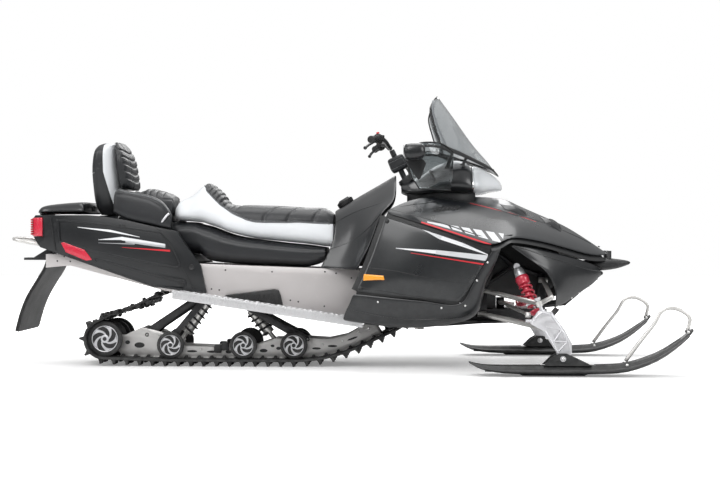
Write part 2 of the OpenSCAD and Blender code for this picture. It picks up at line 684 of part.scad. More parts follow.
module front_bumper() {
    // Columns are x, bottom z, top z, half width at the bottom, half width at the top.
    rows = [[1206, 469, 520, 96, 100], [1300, 472.6, 538, 112, 116], [1370, 482, 532, 112, 116],
            [1425, 500, 524, 96, 98], [1436, 508, 518, 84, 86]];
    color(black) {
        body(rows, 10, points = 20);
        mirror_y() plate_y([[hood_hinge.x - 10, 520], [hood_hinge.x + 10, 520],
                            [hood_hinge.x + 10, hood_hinge.y + 10], [hood_hinge.x - 10, hood_hinge.y + 10]],
                           -hood_knuckle_y - 18, -hood_knuckle_y - 6);
        disc_y([hood_hinge.x, 0, hood_hinge.y], hinge_pin_r, 2 * hood_knuckle_y + 30);
    }
}

// Console over the fuel tank and the knees: rows run from the centre line down to the lower edge.
console_half = [
    [[-30, 0, 770], [-28, -90, 762], [-22, -150, 720], [-30, -182, 640], [-58, -192, 560], [-96, -196, 489.5]],
    [[80, 0, 838], [82, -90, 826], [84, -160, 770], [70, -214, 670], [45, -240, 580], [10, -262, 488]],
    [[185, 0, 898], [186, -90, 884], [188, -190, 800], [150, -290, 690], [120, -318, 590], [90, -340, 484]],
    [[275, 0, 952], [276, -95, 930], [268, -230, 822], [206, -356, 752], [150, -386, 600], [86, -396, 486]],
];

module console() {
    color(dark) sheet([for (row = console_half) mirrored_row(row)], 16, 26, skin);
}

module fuel_cap() {
    lean = atan2(68, 110);
    color(black) translate([26, 0, 805.4]) rotate([0, -lean, 0]) cylinder(r = 42, h = 26);
}

// ---------------------------------------------------------------- seats

// Columns are x, bottom z, top z, half width at the bottom, half width at the top.
seat_base_rows = [[-1218, 594, 750, 150, 140], [-1120, 586, 749, 152, 140], [-1100, 584, 716, 152, 148],
                  [-960, 574, 716, 152, 150], [-850, 566, 716, 152, 160], [-806, 562, 718, 158, 176],
                  [-730, 556, 716, 168, 182], [-700, 553, 706, 174, 184],
                  [-650, 520, 694, 182, 188], [-515, 505, 648, 184, 190],
                  [-300, 497, 617, 184, 190], [-160, 492.5, 603, 182, 188], [-70, 520, 590, 174, 182]];
rider_rows = [[-822, 726, 790, 120, 130], [-800, 722, 822, 168, 140], [-745, 718, 852, 178, 130],
              [-690, 712, 900, 184, 120], [-655, 700, 908, 188, 116], [-600, 682, 866, 190, 130],
              [-550, 662, 806, 190, 150], [-430, 634, 800, 190, 152], [-290, 618, 796, 190, 150],
              [-170, 606, 788, 188, 140], [-80, 594, 784, 184, 126], [-34, 590, 755, 178, 118]];

module seat_base() {
    color(black) body(seat_base_rows, 26);
}

module rider_seat() {
    color(white) body(rider_rows, 22);
}

module passenger_seat() {
    rows = [[-1012, 716.3, 866, 150, 140], [-960, 716.3, 884, 156, 146], [-880, 716.3, 866, 156, 142],
            [-840, 719, 846, 150, 130]];
    color(dark) body(rows, 8);
}

module armrests() {
    // Columns are x, bottom z, top z, half thickness at the bottom, half thickness at the top.
    rows = [[-1112, 760, 800, 20, 14], [-1096, 752, 876, 32, 20], [-1040, 723.4, 868, 40, 26],
            [-930, 698, 844, 42, 28], [-866, 684, 810, 40, 28], [-826, 679, 752, 30, 22]];
    color(black) mirror_y() body(rows, 12, dy = -208, points = 20);
}

// Backrest pieces lean on rows of z, front x, rear x and half width, lofted upwards.
function level_ring(s, points = 24, squareness = 3) =
    [for (i = [0:points - 1]) let (a = 360 * (i + 0.5) / points,
        h = sgn_pow(sin(a), 2 / squareness), w = sgn_pow(cos(a), 2 / squareness))
        [(s[1] + s[2]) / 2 + w * (s[1] - s[2]) / 2, h * s[3], s[0]]];

module upright(rows, n) {
    loft([for (i = [0:n]) level_ring(curve(rows, i / n * (len(rows) - 1)))]);
}

module backrest_shell() {
    color(white) upright([[751.3, -1126, -1212, 100], [800, -1110, -1236, 126], [880, -1110, -1246, 150],
                          [980, -1120, -1250, 168], [1060, -1130, -1240, 168], [1096, -1138, -1220, 140],
                          [1112, -1145, -1190, 90]], 14);
}

module backrest_pad() {
    color(black) translate([-1.2, 0, 0])
        upright([[878, -1044, -1108, 120], [900, -1038, -1108, 146], [960, -1048, -1116, 160],
                 [1030, -1062, -1124, 160], [1090, -1090, -1134, 132], [1116, -1112, -1138, 84]], 12);
}

// ---------------------------------------------------------------- tail

lid_seam = 748;       // height of the trunk's rim
trunk_floor = 590;

// Side outline of the tail body, clockwise from the rear top; columns are x, z.
tail_outline = [[-1500, lid_seam], [-1515, 734], [-1512, 640], [-1470, 590], [-1400, 566], [-1064, 448],
                [-904, 394], [-811, 389], [-652, 367], [-678, 499], [-765, 620], [-796, 668],
                [-918, 694], [-1040, 722], [-1180, 744], [-1232, lid_seam]];
// The trunk's load space; columns are x, z.
trunk_outline = [[-1484, 760], [-1484, 645], [-1452, trunk_floor], [-1256, trunk_floor], [-1256, 760]];

module tail_body() {
    wall = 6;
    inner = tail_half_w - wall;
    color(black) difference() {
        intersection() {
            plate_y(tail_outline, -tail_half_w, tail_half_w);
            // The sides taper towards the rear and the top.
            translate([0, 0, 300]) linear_extrude(600) polygon([
                [-1530, -tail_half_w + 62], [-1480, -tail_half_w + 12], [-1300, -tail_half_w],
                [-900, -tail_half_w], [-640, -tail_half_w + 26], [-640, tail_half_w - 26],
                [-900, tail_half_w], [-1300, tail_half_w], [-1480, tail_half_w - 12], [-1530, tail_half_w - 62]]);
        }
        plate_y(trunk_outline, -inner + 30, inner - 30);
        // Room over the tunnel and for the seats.
        plate_y([[-1600, 200], [-1600, 562], [-1250, 566], [-640, 514], [-600, 200]],
                -tunnel_half - 0.3, tunnel_half + 0.3);
        plate_y([[-1246, 900], [-1246, 600], [-1224, 590], [-600, 540], [-600, 900]],
                -tunnel_half + 12, tunnel_half - 12);
        // Recesses for the tail lights.
        mirror_y() translate([-1540, -tail_half_w, 644]) cube([82, 76, 92]);
    }
}

lid_hinge = [-1499.5, lid_seam + 4.8];

module trunk_lid() {
    base = lid_seam + shut_gap;
    // Columns are x, bottom z, top z, half width at the bottom, half width at the top.
    rows = [[-1499, base, 775, 176, 160], [-1480, base, 792, 206, 184], [-1440, base, 802, 224, 196],
            [-1340, base, 812, 234, 200], [-1258, base, 816, 236, 200]];
    color(black) {
        difference() {
            body(rows, 10, squareness = 5);
            plate_y([[-1476, 700], [-1476, 776], [-1430, 784], [-1290, 792], [-1274, 700]], -176, 176);
        }
        disc_y([lid_hinge.x, 0, lid_hinge.y], 4.5, 280);
    }
}

module tail_lights() {
    color(red) mirror_y() intersection() {
        translate([-1520, -tail_half_w + 2, 644.3]) cube([61.7, 73.7, 91.4]);
        translate([-1430, -tail_half_w + 88, 600]) cylinder(r = 98, h = 200);
    }
}

module rear_bumper() {
    w = 175;
    color(silver) tube([[-1492, -w, 606], [-1560, -w, 616], [-1612, -w + 12, 626], [-1636, -w + 60, 632],
        [-1639, 0, 633], [-1636, w - 60, 632], [-1612, w - 12, 626], [-1560, w, 616], [-1492, w, 606]],
        loop_tube_r, 40);
}

hitch_x = -1578;
hitch_plate = [524, 12];    // z of the plate's lower face, thickness

module hitch() {
    color(black) difference() {
        union() {
            translate([hitch_x - 32, -40, hitch_plate[0]]) cube([124, 80, hitch_plate[1]]);
            mirror_y() plate_y([[-1560, 536], [-1471, 590.4], [-1458, 585.7], [-1458, 566], [-1478, 540],
                                [-1486, 524], [-1560, 524]], -48, -39);
            translate([-1480, -40, 560]) cube([14, 80, 12]);
        }
        translate([hitch_x, 0, 500]) cylinder(r = hitch_hole_r, h = 60);
    }
}

module snow_flap() {
    // Columns are x, z.
    net = [for (p = [[-1440, 552.8], [-1458, 490], [-1500, 420], [-1548, 340], [-1580, 258], [-1604, 168]])
        [for (y = [-200, -100, 0, 100, 200]) [p.x, y, p.y]]];
    color(black) sheet(net, 12, 8, 7);
}

// ---------------------------------------------------------------- windshield, lamps and mirrors

// Windshield, right half; rows run from the centre line to the side edge, from the top down.
shield_half = [
    [[486, 0, 1346], [484, -45, 1343], [480, -88, 1336], [472, -120, 1326], [462, -145, 1312]],
    [[565, 0, 1238], [555, -70, 1240], [525, -135, 1246], [484, -200, 1252], [446, -262, 1254]],
    [[662, 0, 1102], [642, -75, 1110], [592, -150, 1132], [528, -222, 1155], [466, -290, 1172]],
    [[739, 0, 1012], [712, -80, 1030], [644, -160, 1058], [565, -238, 1088], [486, -300, 1110]],
    [[785, 0, 950], [752, -80, 975], [672, -165, 1010], [585, -245, 1045], [500, -300, 1072]],
];

shield_net = [for (row = shield_half) mirrored_row(row)];

module windshield() {
    color([0.7, 0.74, 0.75, 0.5]) sheet(shield_net, 16, 20, shield_t);
}

module headlight_pod() {
    // Columns are x, bottom z, top z, half width at the bottom, half width at the top.
    rows = [[302, 860, 912, 170, 120], [340, 846, 930, 236, 130], [400, 841.2, 945, 262, 140],
            [470, 847, 995, 262, 160], [560, 849, 1024, 250, 190], [620, 847, 1012, 240, 180],
            [652, 846, 985, 226, 170]];
    color(black) {
        difference() {
            body(rows, 14);
            // Room for the steering column.
            translate([280, -50, 800]) cube([125, 100, 240]);
        }
        // Posts that the windshield and the deflectors are fixed to.
        mirror_y() {
            tab(shield_net, 15 / 16, 18 / 20, [520, -170, 960], 7, shield_t);
            tab(shield_net, 15 / 16, 16 / 20, [590, -150, 960], 7, shield_t);
            tab(deflector_net, 4 / 8, 5 / 8, [470, -150, 920], 7, shield_t);
        }
    }
}

module headlight() {
    rows = [[652.4, 848, 1000, 222, 160], [700, 850, 985, 196, 120], [750, 864, 958, 150, 80],
            [790, 868, 925, 90, 50], [806, 874, 900, 50, 30]];
    color([0.9, 0.93, 0.95, 0.6]) body(rows, 10);
}

// Wind deflector, right: rows run from the upper edge to the lower edge.
deflector_net = [
    [[352, -372, 1078], [338, -376, 1010], [350, -366, 940], [392, -346, 872]],
    [[420, -368, 1092], [410, -372, 1015], [415, -360, 940], [430, -330, 870]],
    [[500, -320, 1088], [495, -330, 1010], [495, -318, 940], [490, -285, 868]],
    [[560, -272, 1050], [558, -284, 990], [555, -275, 930], [545, -250, 866]],
];

module wind_deflectors() {
    color([0.7, 0.74, 0.75, 0.6]) mirror_y() sheet(deflector_net, 8, 8, shield_t);
}

module mirrors() {
    // Columns are x, bottom z, top z, half width at the bottom, half width at the top.
    rows = [[318, 1030, 1062, 44, 40], [328, 1004, 1080, 62, 58], [360, 1000, 1084, 64, 60],
            [400, 1008, 1082, 60, 56], [418, 1022, 1066, 46, 42]];
    color(dark) mirror_y() {
        body(rows, 8, dy = -452, points = 20);
        tab(deflector_net, 2 / 8, 2 / 8, [384, -440, 1036], 9, 0);
    }
}

// ---------------------------------------------------------------- handlebar

grip_start = [198, -248, 1119];
grip_end = [160, -bar_half_span, 1106];

module handlebar() {
    right = [[240, -70, 1092], [228, -150, 1108], [212, -210, 1120], grip_start];
    all = concat([for (i = [3:-1:0]) right[i]], [[247, 0, 1088]], [for (q = right) [q.x, -q.y, q.z]]);
    color(black) tube(all, bar_r, 32);
}

module hand_controls() {
    along = unit(grip_end - grip_start);
    start = grip_start + along * 1.4;
    color(dark) mirror_y() {
        bar(start, grip_end, 17);
        bar(start, start + along * 26, 25);
        bar(start + along * 12 - [18, 0, 12], [132, -340, 1068], 6);
        translate([132, -340, 1068]) sphere(r = 9);
    }
}

// Steering shaft, which ends under the handlebar, and the padded box round its top.
module steering_column() {
    top = 1080;
    boot = 1012;
    color(black) {
        difference() {
            on_shaft((700 + top) / 2, column_r, (top - 700) / column_axis.z);
            translate([247, 0, 1088]) rotate([90, 0, 0]) cylinder(r = bar_r + 0.4, h = 60, center = true);
        }
        difference() {
            translate(on_column(boot)) rotate([0, atan2(column_axis.x, column_axis.z), 0])
                translate([-44, -42, -40]) cube([88, 84, 76]);
            on_shaft(boot, column_r + 0.3, 120);
        }
    }
}

// ---------------------------------------------------------------- output

tunnel();
running_boards();
front_frame();
engine();
belly_pans();
nose_fairings();
front_bumper();
console();
fuel_cap();
seat_base();
rider_seat();
passenger_seat();
armrests();
backrest_shell();
backrest_pad();
tail_body();
tail_lights();
rear_bumper();
hitch();
snow_flap();
track();
rails();
rear_idler_wheels();
bogie_wheels();
drive_axle();
torque_arms();
skid_shocks();
upper_arms();
lower_arms();
ski_shocks();
steering_linkage();
hood();
windshield();
headlight_pod();
headlight();
wind_deflectors();
mirrors();
side_panel();  // side_panel_right
mirror([0, 1, 0]) side_panel();  // side_panel_left
trunk_lid();
handlebar();
hand_controls();
steering_column();
spindle();  // spindle_right
mirror([0, 1, 0]) spindle();  // spindle_left
ski();  // ski_right
mirror([0, 1, 0]) ski();  // ski_left
ski_loop();  // ski_loop_right
mirror([0, 1, 0]) ski_loop();  // ski_loop_left
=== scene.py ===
"""Looks of a two-seat touring snowmobile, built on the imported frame.

X points forward, Y to the rider's left and Z up, in metres. Sizes in the classes are in
millimetres, as in the construction, and are turned into metres as meshes are made.
"""
from __future__ import annotations

import json
import logging
import math
from dataclasses import dataclass, field
from enum import Enum
from functools import cache
from typing import Callable, Iterable, Sequence

import bmesh
import bpy
import numpy as np
from mathutils import Matrix, Vector
from mathutils.bvhtree import BVHTree

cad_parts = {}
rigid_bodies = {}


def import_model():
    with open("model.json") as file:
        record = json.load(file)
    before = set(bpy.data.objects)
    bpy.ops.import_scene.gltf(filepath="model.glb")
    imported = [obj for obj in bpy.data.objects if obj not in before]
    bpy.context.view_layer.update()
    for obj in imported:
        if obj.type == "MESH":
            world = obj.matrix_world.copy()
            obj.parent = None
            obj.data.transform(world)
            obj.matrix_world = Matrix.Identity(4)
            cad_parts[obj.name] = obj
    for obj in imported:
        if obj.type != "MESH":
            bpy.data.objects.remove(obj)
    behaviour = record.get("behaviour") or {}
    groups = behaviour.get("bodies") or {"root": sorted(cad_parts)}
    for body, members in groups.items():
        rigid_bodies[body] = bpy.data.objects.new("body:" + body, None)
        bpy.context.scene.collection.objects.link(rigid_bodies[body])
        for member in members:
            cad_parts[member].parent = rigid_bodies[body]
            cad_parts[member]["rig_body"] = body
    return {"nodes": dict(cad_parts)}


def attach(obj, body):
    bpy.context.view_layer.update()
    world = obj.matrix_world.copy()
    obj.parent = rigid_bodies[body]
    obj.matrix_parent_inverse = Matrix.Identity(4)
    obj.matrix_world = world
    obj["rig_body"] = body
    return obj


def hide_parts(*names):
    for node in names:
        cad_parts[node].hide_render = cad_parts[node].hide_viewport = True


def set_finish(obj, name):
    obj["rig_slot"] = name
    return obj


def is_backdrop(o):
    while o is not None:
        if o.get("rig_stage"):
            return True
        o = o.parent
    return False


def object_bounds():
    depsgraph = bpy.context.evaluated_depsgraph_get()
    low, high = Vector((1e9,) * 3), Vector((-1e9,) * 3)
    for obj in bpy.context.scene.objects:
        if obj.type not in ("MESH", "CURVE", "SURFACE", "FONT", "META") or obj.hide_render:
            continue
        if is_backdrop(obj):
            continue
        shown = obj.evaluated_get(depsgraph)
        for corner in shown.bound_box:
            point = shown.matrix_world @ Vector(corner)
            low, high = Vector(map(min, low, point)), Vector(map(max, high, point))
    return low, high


LOG = logging.getLogger("snowmobile")
MM = 0.001
Point = Sequence[float]
Obj = bpy.types.Object


class Side(Enum):
    """A side of the vehicle, with the sign of its Y."""

    RIGHT = -1
    LEFT = 1


# ---------------------------------------------------------------- curves and nets


def smooth_at(points: Sequence, t: float) -> np.ndarray:
    """Point on the smooth curve through points.

    Args:
        points: control points of equal length.
        t: place from 0 to len(points) - 1.

    Returns:
        The point at t.
    """
    p = [np.asarray(q, float) for q in points]
    n = len(p) - 1
    i = max(0, min(int(math.floor(t)), n - 1))
    f = t - i
    a, b, c, d = p[max(i - 1, 0)], p[i], p[i + 1], p[min(i + 2, n)]
    return 0.5 * (2 * b + (c - a) * f + (2 * a - 5 * b + 4 * c - d) * f * f + (3 * b - a - 3 * c + d)
        * f ** 3)


def smooth_path(points: Sequence, steps: int) -> list[np.ndarray]:
    """The smooth curve through points, as steps + 1 points."""
    return [smooth_at(points, i / steps * (len(points) - 1)) for i in range(steps + 1)]


def unit(v: np.ndarray) -> np.ndarray:
    """The vector scaled to length 1."""
    return v / max(float(np.linalg.norm(v)), 1e-12)


def mirrored_row(row: Sequence[Point]) -> list:
    """A half row from the centre plane, with its left half added before it."""
    return [(p[0], -p[1], p[2]) for p in row[:0:-1]] + list(row)


@dataclass(frozen=True)
class Net:
    """A smooth surface through rows of points, in millimetres."""

    rows: tuple

    def at(self, u: float, v: float) -> np.ndarray:
        """Point at u along the rows and v down a row, both from 0 to 1."""
        column = [smooth_at(row, v * (len(row) - 1)) for row in self.rows]
        return smooth_at(column, u * (len(self.rows) - 1))

    def normal(self, u: float, v: float) -> np.ndarray:
        """Outward unit normal at u and v."""
        e = 0.02
        u0, u1, v0, v1 = max(0, u - e), min(1, u + e), max(0, v - e), min(1, v + e)
        return unit(np.cross(self.at(u, v1) - self.at(u, v0), self.at(u1, v) - self.at(u0, v)))

    def lifted(self, u: float, v: float, lift: float) -> np.ndarray:
        """Point lift millimetres outside the surface."""
        return self.at(u, v) + self.normal(u, v) * lift


def rounded_ring(x: float, low: float, high: float, half_low: float, half_high: float, count: int,
    squareness: float) -> list[tuple]:
    """Ring with rounded corners in a plane of constant x.

    Args:
        x: place of the plane.
        low: lowest z.
        high: highest z.
        half_low: half width at the bottom.
        half_high: half width at the top.
        count: number of points.
        squareness: 2 is an ellipse, and more is squarer.

    Returns:
        The ring's points, in millimetres.
    """
    out = []
    for i in range(count):
        a = 2 * math.pi * (i + 0.5) / count
        h = math.copysign(abs(math.sin(a)) ** (2 / squareness), math.sin(a))
        w = math.copysign(abs(math.cos(a)) ** (2 / squareness), math.cos(a))
        share = (h + 1) / 2
        out.append((x, w * (half_low + (half_high - half_low) * share), low + (high - low) * share))
    return out


# ---------------------------------------------------------------- meshes


def new_piece(name: str, verts: Iterable, faces: Iterable, finish: "Finish | None", smooth: bool = True,
    scale: float = MM) -> Obj:
    """Makes a mesh object at the origin.

    Args:
        name: the piece's name.
        verts: its points.
        faces: its faces, as tuples of point numbers.
        finish: what it is made of.
        smooth: whether its shading is smooth.
        scale: metres for one unit of verts.

    Returns:
        The object.
    """
    mesh = bpy.data.meshes.new(name)
    mesh.from_pydata([tuple(float(c) * scale for c in v) for v in verts], [], list(faces))
    mesh.validate()
    obj = bpy.data.objects.new(name, mesh)
    bpy.context.scene.collection.objects.link(obj)
    if smooth:
        mesh.shade_smooth()
    if finish:
        dress(obj, finish)
    return obj


def dress(obj: Obj, finish: "Finish") -> Obj:
    """Gives a piece its material and its material slot."""
    obj.data.materials.clear()
    obj.data.materials.append(finish.material())
    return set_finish(obj, finish.slot)


def fix_normals(obj: Obj, merge: float = 1e-6) -> Obj:
    """Merges a closed piece's doubles and turns its faces outwards."""
    bm = bmesh.new()
    bm.from_mesh(obj.data)
    bmesh.ops.remove_doubles(bm, verts=bm.verts, dist=merge)
    bmesh.ops.recalc_face_normals(bm, faces=bm.faces)
    bm.to_mesh(obj.data)
    bm.free()
    return obj


def soften(obj: Obj, angle: float = 35.0) -> Obj:
    """Smooth shading with sharp edges above an angle in degrees."""
    obj.data.shade_smooth()
    obj.data.set_sharp_from_angle(angle=math.radians(angle))
    return obj


def add_bevel(obj: Obj, width: float, segments: int = 2, angle: float = 32.0) -> Obj:
    """Rounds a piece's edges by a width in millimetres."""
    mod = obj.modifiers.new("rounded_edges", "BEVEL")
    mod.width = width * MM
    mod.segments = segments
    mod.limit_method = "ANGLE"
    mod.angle_limit = math.radians(angle)
    mod.harden_normals = False
    return obj


def add_subdivision(obj: Obj, levels: int = 1) -> Obj:
    """Subdivides a piece, equally in views and renders."""
    mod = obj.modifiers.new("subdivision", "SUBSURF")
    mod.levels = mod.render_levels = levels
    return obj


def bake_modifiers(obj: Obj) -> Obj:
    """Turns a piece and its modifiers into a plain mesh."""
    graph = bpy.context.evaluated_depsgraph_get()
    mesh = bpy.data.meshes.new_from_object(obj.evaluated_get(graph), depsgraph=graph)
    mesh.name = obj.name
    obj.modifiers.clear()
    obj.data = mesh
    return obj


def copy_of(node: str, name: str, finish: "Finish", bevel: float = 0.0, levels: int = 0,
    angle: float = 35.0) -> Obj:
    """A merged and smoothed stand-in for a construction node, riding where it rides.

    Args:
        node: the construction node.
        name: the new piece's name.
        finish: what it is made of.
        bevel: radius of its edges in millimetres.
        levels: subdivision levels, for moulded shells.
        angle: sharpest angle in degrees that is still shaded smooth.

    Returns:
        The new piece.
    """
    source = FRAME["nodes"][node]
    mesh = source.data.copy()
    mesh.name = name
    obj = bpy.data.objects.new(name, mesh)
    bpy.context.scene.collection.objects.link(obj)
    bm = bmesh.new()
    bm.from_mesh(mesh)
    bmesh.ops.remove_doubles(bm, verts=bm.verts, dist=2e-5)
    if levels:
        bmesh.ops.join_triangles(bm, faces=bm.faces, angle_face_threshold=0.6, angle_shape_threshold=1.2)
    elif bevel:
        bmesh.ops.dissolve_limit(bm, angle_limit=0.004, verts=bm.verts, edges=bm.edges)
    bm.to_mesh(mesh)
    bm.free()
    soften(obj, angle)
    if levels:
        add_subdivision(obj, levels)
        bake_modifiers(obj)
        obj.data.shade_smooth()
        soften(obj, 50)
    elif bevel:
        add_bevel(obj, bevel)
        bake_modifiers(obj)
        soften(obj, 40)
    dress(obj, finish)
    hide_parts(node)
    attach(obj, source["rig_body"])
    return obj


def loft_faces(rings: int, count: int, caps: bool = True) -> list[tuple]:
    """Faces of a loft through rings of count points each, with fanned caps after them."""
    faces = []
    for i in range(rings - 1):
        for j in range(count):
            a, b = i * count + j, i * count + (j + 1) % count
            faces.append((a, b, b + count, a + count))
    if caps:
        first, last = rings * count, rings * count + 1
        for j in range(count):
            k = (rings - 1) * count
            faces.append((first, (j + 1) % count, j))
            faces.append((last, k + j, k + (j + 1) % count))
    return faces


def loft(name: str, rings: Sequence, finish: "Finish") -> Obj:
    """A closed piece through rings of equally many points."""
    verts = [p for ring in rings for p in ring]
    verts += [np.mean(np.asarray(rings[0], float), axis=0), np.mean(np.asarray(rings[-1], float), axis=0)]
    return fix_normals(new_piece(name, verts, loft_faces(len(rings), len(rings[0])), finish))


def tube(name: str, points: Sequence, radius: float, finish: "Finish", sides: int = 10, flat: float = 1.0,
    facing: "Callable | None" = None, closed: bool = False) -> Obj:
    """A round or flattened bar along a line of points.

    Args:
        name: the piece's name.
        points: the line, in millimetres.
        radius: half its width.
        finish: what it is made of.
        sides: points round it.
        flat: height of its section as a share of its width.
        facing: gives the direction of its height for a point number.
        closed: whether the line is a loop.

    Returns:
        The piece.
    """
    p = [np.asarray(q, float) for q in points]
    n = len(p)
    rings = []
    for i in range(n):
        if closed:
            along = unit(p[(i + 1) % n] - p[i - 1])
        else:
            along = unit(p[min(i + 1, n - 1)] - p[max(i - 1, 0)])
        guide = facing(i) if facing else (np.array([0, 0, 1.0]) if abs(along[1]) > 0.8
            else np.array([0, 1.0, 0]))
        across = unit(np.cross(along, guide))
        up = np.cross(across, along)
        rings.append([p[i] + radius * (math.cos(a) * across + flat * math.sin(a) * up)
                for a in (2 * math.pi * k / sides for k in range(sides))])
    if closed:
        verts = [q for ring in rings for q in ring]
        faces = []
        for i in range(n):
            for j in range(sides):
                a, b = i * sides + j, i * sides + (j + 1) % sides
                c, d = ((i + 1) % n) * sides + j, ((i + 1) % n) * sides + (j + 1) % sides
                faces.append((a, b, d, c))
        return fix_normals(new_piece(name, verts, faces, finish))
    return soften(loft(name, rings, finish), 50)


def turned(name: str, profile: Sequence, centre: Point, axis: Point, finish: "Finish",
    steps: int = 40) -> Obj:
    """A piece turned about an axis.

    Args:
        name: the piece's name.
        profile: pairs of distance along the axis and radius, from end to end.
        centre: where the axis starts, in millimetres.
        axis: its direction.
        finish: what it is made of.
        steps: points round the axis.

    Returns:
        The piece.
    """
    z = unit(np.asarray(axis, float))
    x = unit(np.cross(z, [0.3, 0.9, 0.2]))
    y = np.cross(z, x)
    c = np.asarray(centre, float)
    rings = [[c + z * h + r * (math.cos(a) * x + math.sin(a) * y)
            for a in (2 * math.pi * k / steps for k in range(steps))] for h, r in profile]
    return soften(loft(name, rings, finish), 34)


def slab(name: str, outline: Sequence, y0: float, y1: float, finish: "Finish", bevel: float = 1.0) -> Obj:
    """A plate between two Y planes, with an outline in x and z and rounded edges."""
    n = len(outline)
    verts = [(p[0], y0, p[1]) for p in outline] + [(p[0], y1, p[1]) for p in outline]
    faces = [tuple(range(n)), tuple(range(2 * n - 1, n - 1, -1))]
    faces += [(i, (i + 1) % n, n + (i + 1) % n, n + i) for i in range(n)]
    obj = fix_normals(new_piece(name, verts, faces, finish))
    if bevel:
        bake_modifiers(add_bevel(obj, bevel))
        dress(obj, finish)
    return soften(obj, 40)


def joined(name: str, parts: Sequence[Obj]) -> Obj:
    """Joins pieces of one finish into one."""
    bm = bmesh.new()
    for part in parts:
        bm.from_mesh(part.data)
    materials = list(parts[0].data.materials)
    slot_name = parts[0].get("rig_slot")
    mesh = bpy.data.meshes.new(name)
    bm.to_mesh(mesh)
    bm.free()
    for part in parts:
        bpy.data.objects.remove(part)
    obj = bpy.data.objects.new(name, mesh)
    bpy.context.scene.collection.objects.link(obj)
    for material in materials:
        mesh.materials.append(material)
    if slot_name:
        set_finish(obj, slot_name)
    return soften(obj, 40)


def on_side(points: Sequence[Point], side: Side) -> list[tuple]:
    """Right-hand points, turned over to the side asked for."""
    return [(p[0], p[1] * (-side.value), p[2]) for p in points]


def ride(objs: "Obj | Sequence[Obj]", body: str) -> None:
    """Makes one or more pieces move with a body."""
    for obj in ([objs] if isinstance(objs, bpy.types.Object) else objs):
        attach(obj, body)


# ---------------------------------------------------------------- node graphs


class Graph:
    """Small wrapper that builds a node tree."""

    def __init__(self, tree: bpy.types.NodeTree) -> None:
        """Keeps the tree."""
        self.tree = tree

    def node(self, kind: str, inputs: dict | None = None, **settings: object) -> bpy.types.Node:
        """Adds a node.

        Args:
            kind: the node's type name.
            inputs: socket values or sockets to link, by name or number.
            settings: the node's own properties.

        Returns:
            The node.
        """
        n = self.tree.nodes.new(kind)
        for key, value in settings.items():
            setattr(n, key, value)
        for key, value in (inputs or {}).items():
            socket = n.inputs[key]
            if isinstance(value, bpy.types.NodeSocket):
                self.tree.links.new(value, socket)
            else:
                socket.default_value = value
        return n

    def math(self, operation: str, a: object, b: object = 0.0, clamp: bool = False) -> bpy.types.NodeSocket:
        """A math node's output."""
        n = self.node("ShaderNodeMath", {0: a, 1: b}, operation=operation)
        n.use_clamp = clamp
        return n.outputs[0]

    def vector(self, operation: str, a: object, b: object) -> bpy.types.Node:
        """A vector math node."""
        return self.node("ShaderNodeVectorMath", {0: a, 1: b}, operation=operation)

    def mix(self, factor: object, a: object, b: object) -> bpy.types.NodeSocket:
        """A colour mix node's output."""
        n = self.node("ShaderNodeMix", {0: factor, 6: a, 7: b}, data_type="RGBA")
        return n.outputs[2]

    def scaled(self, value: object, low: float, high: float) -> bpy.types.NodeSocket:
        """Maps 0 to 1 onto low to high."""
        return self.node("ShaderNodeMapRange", {0: value, 3: low, 4: high}).outputs[0]


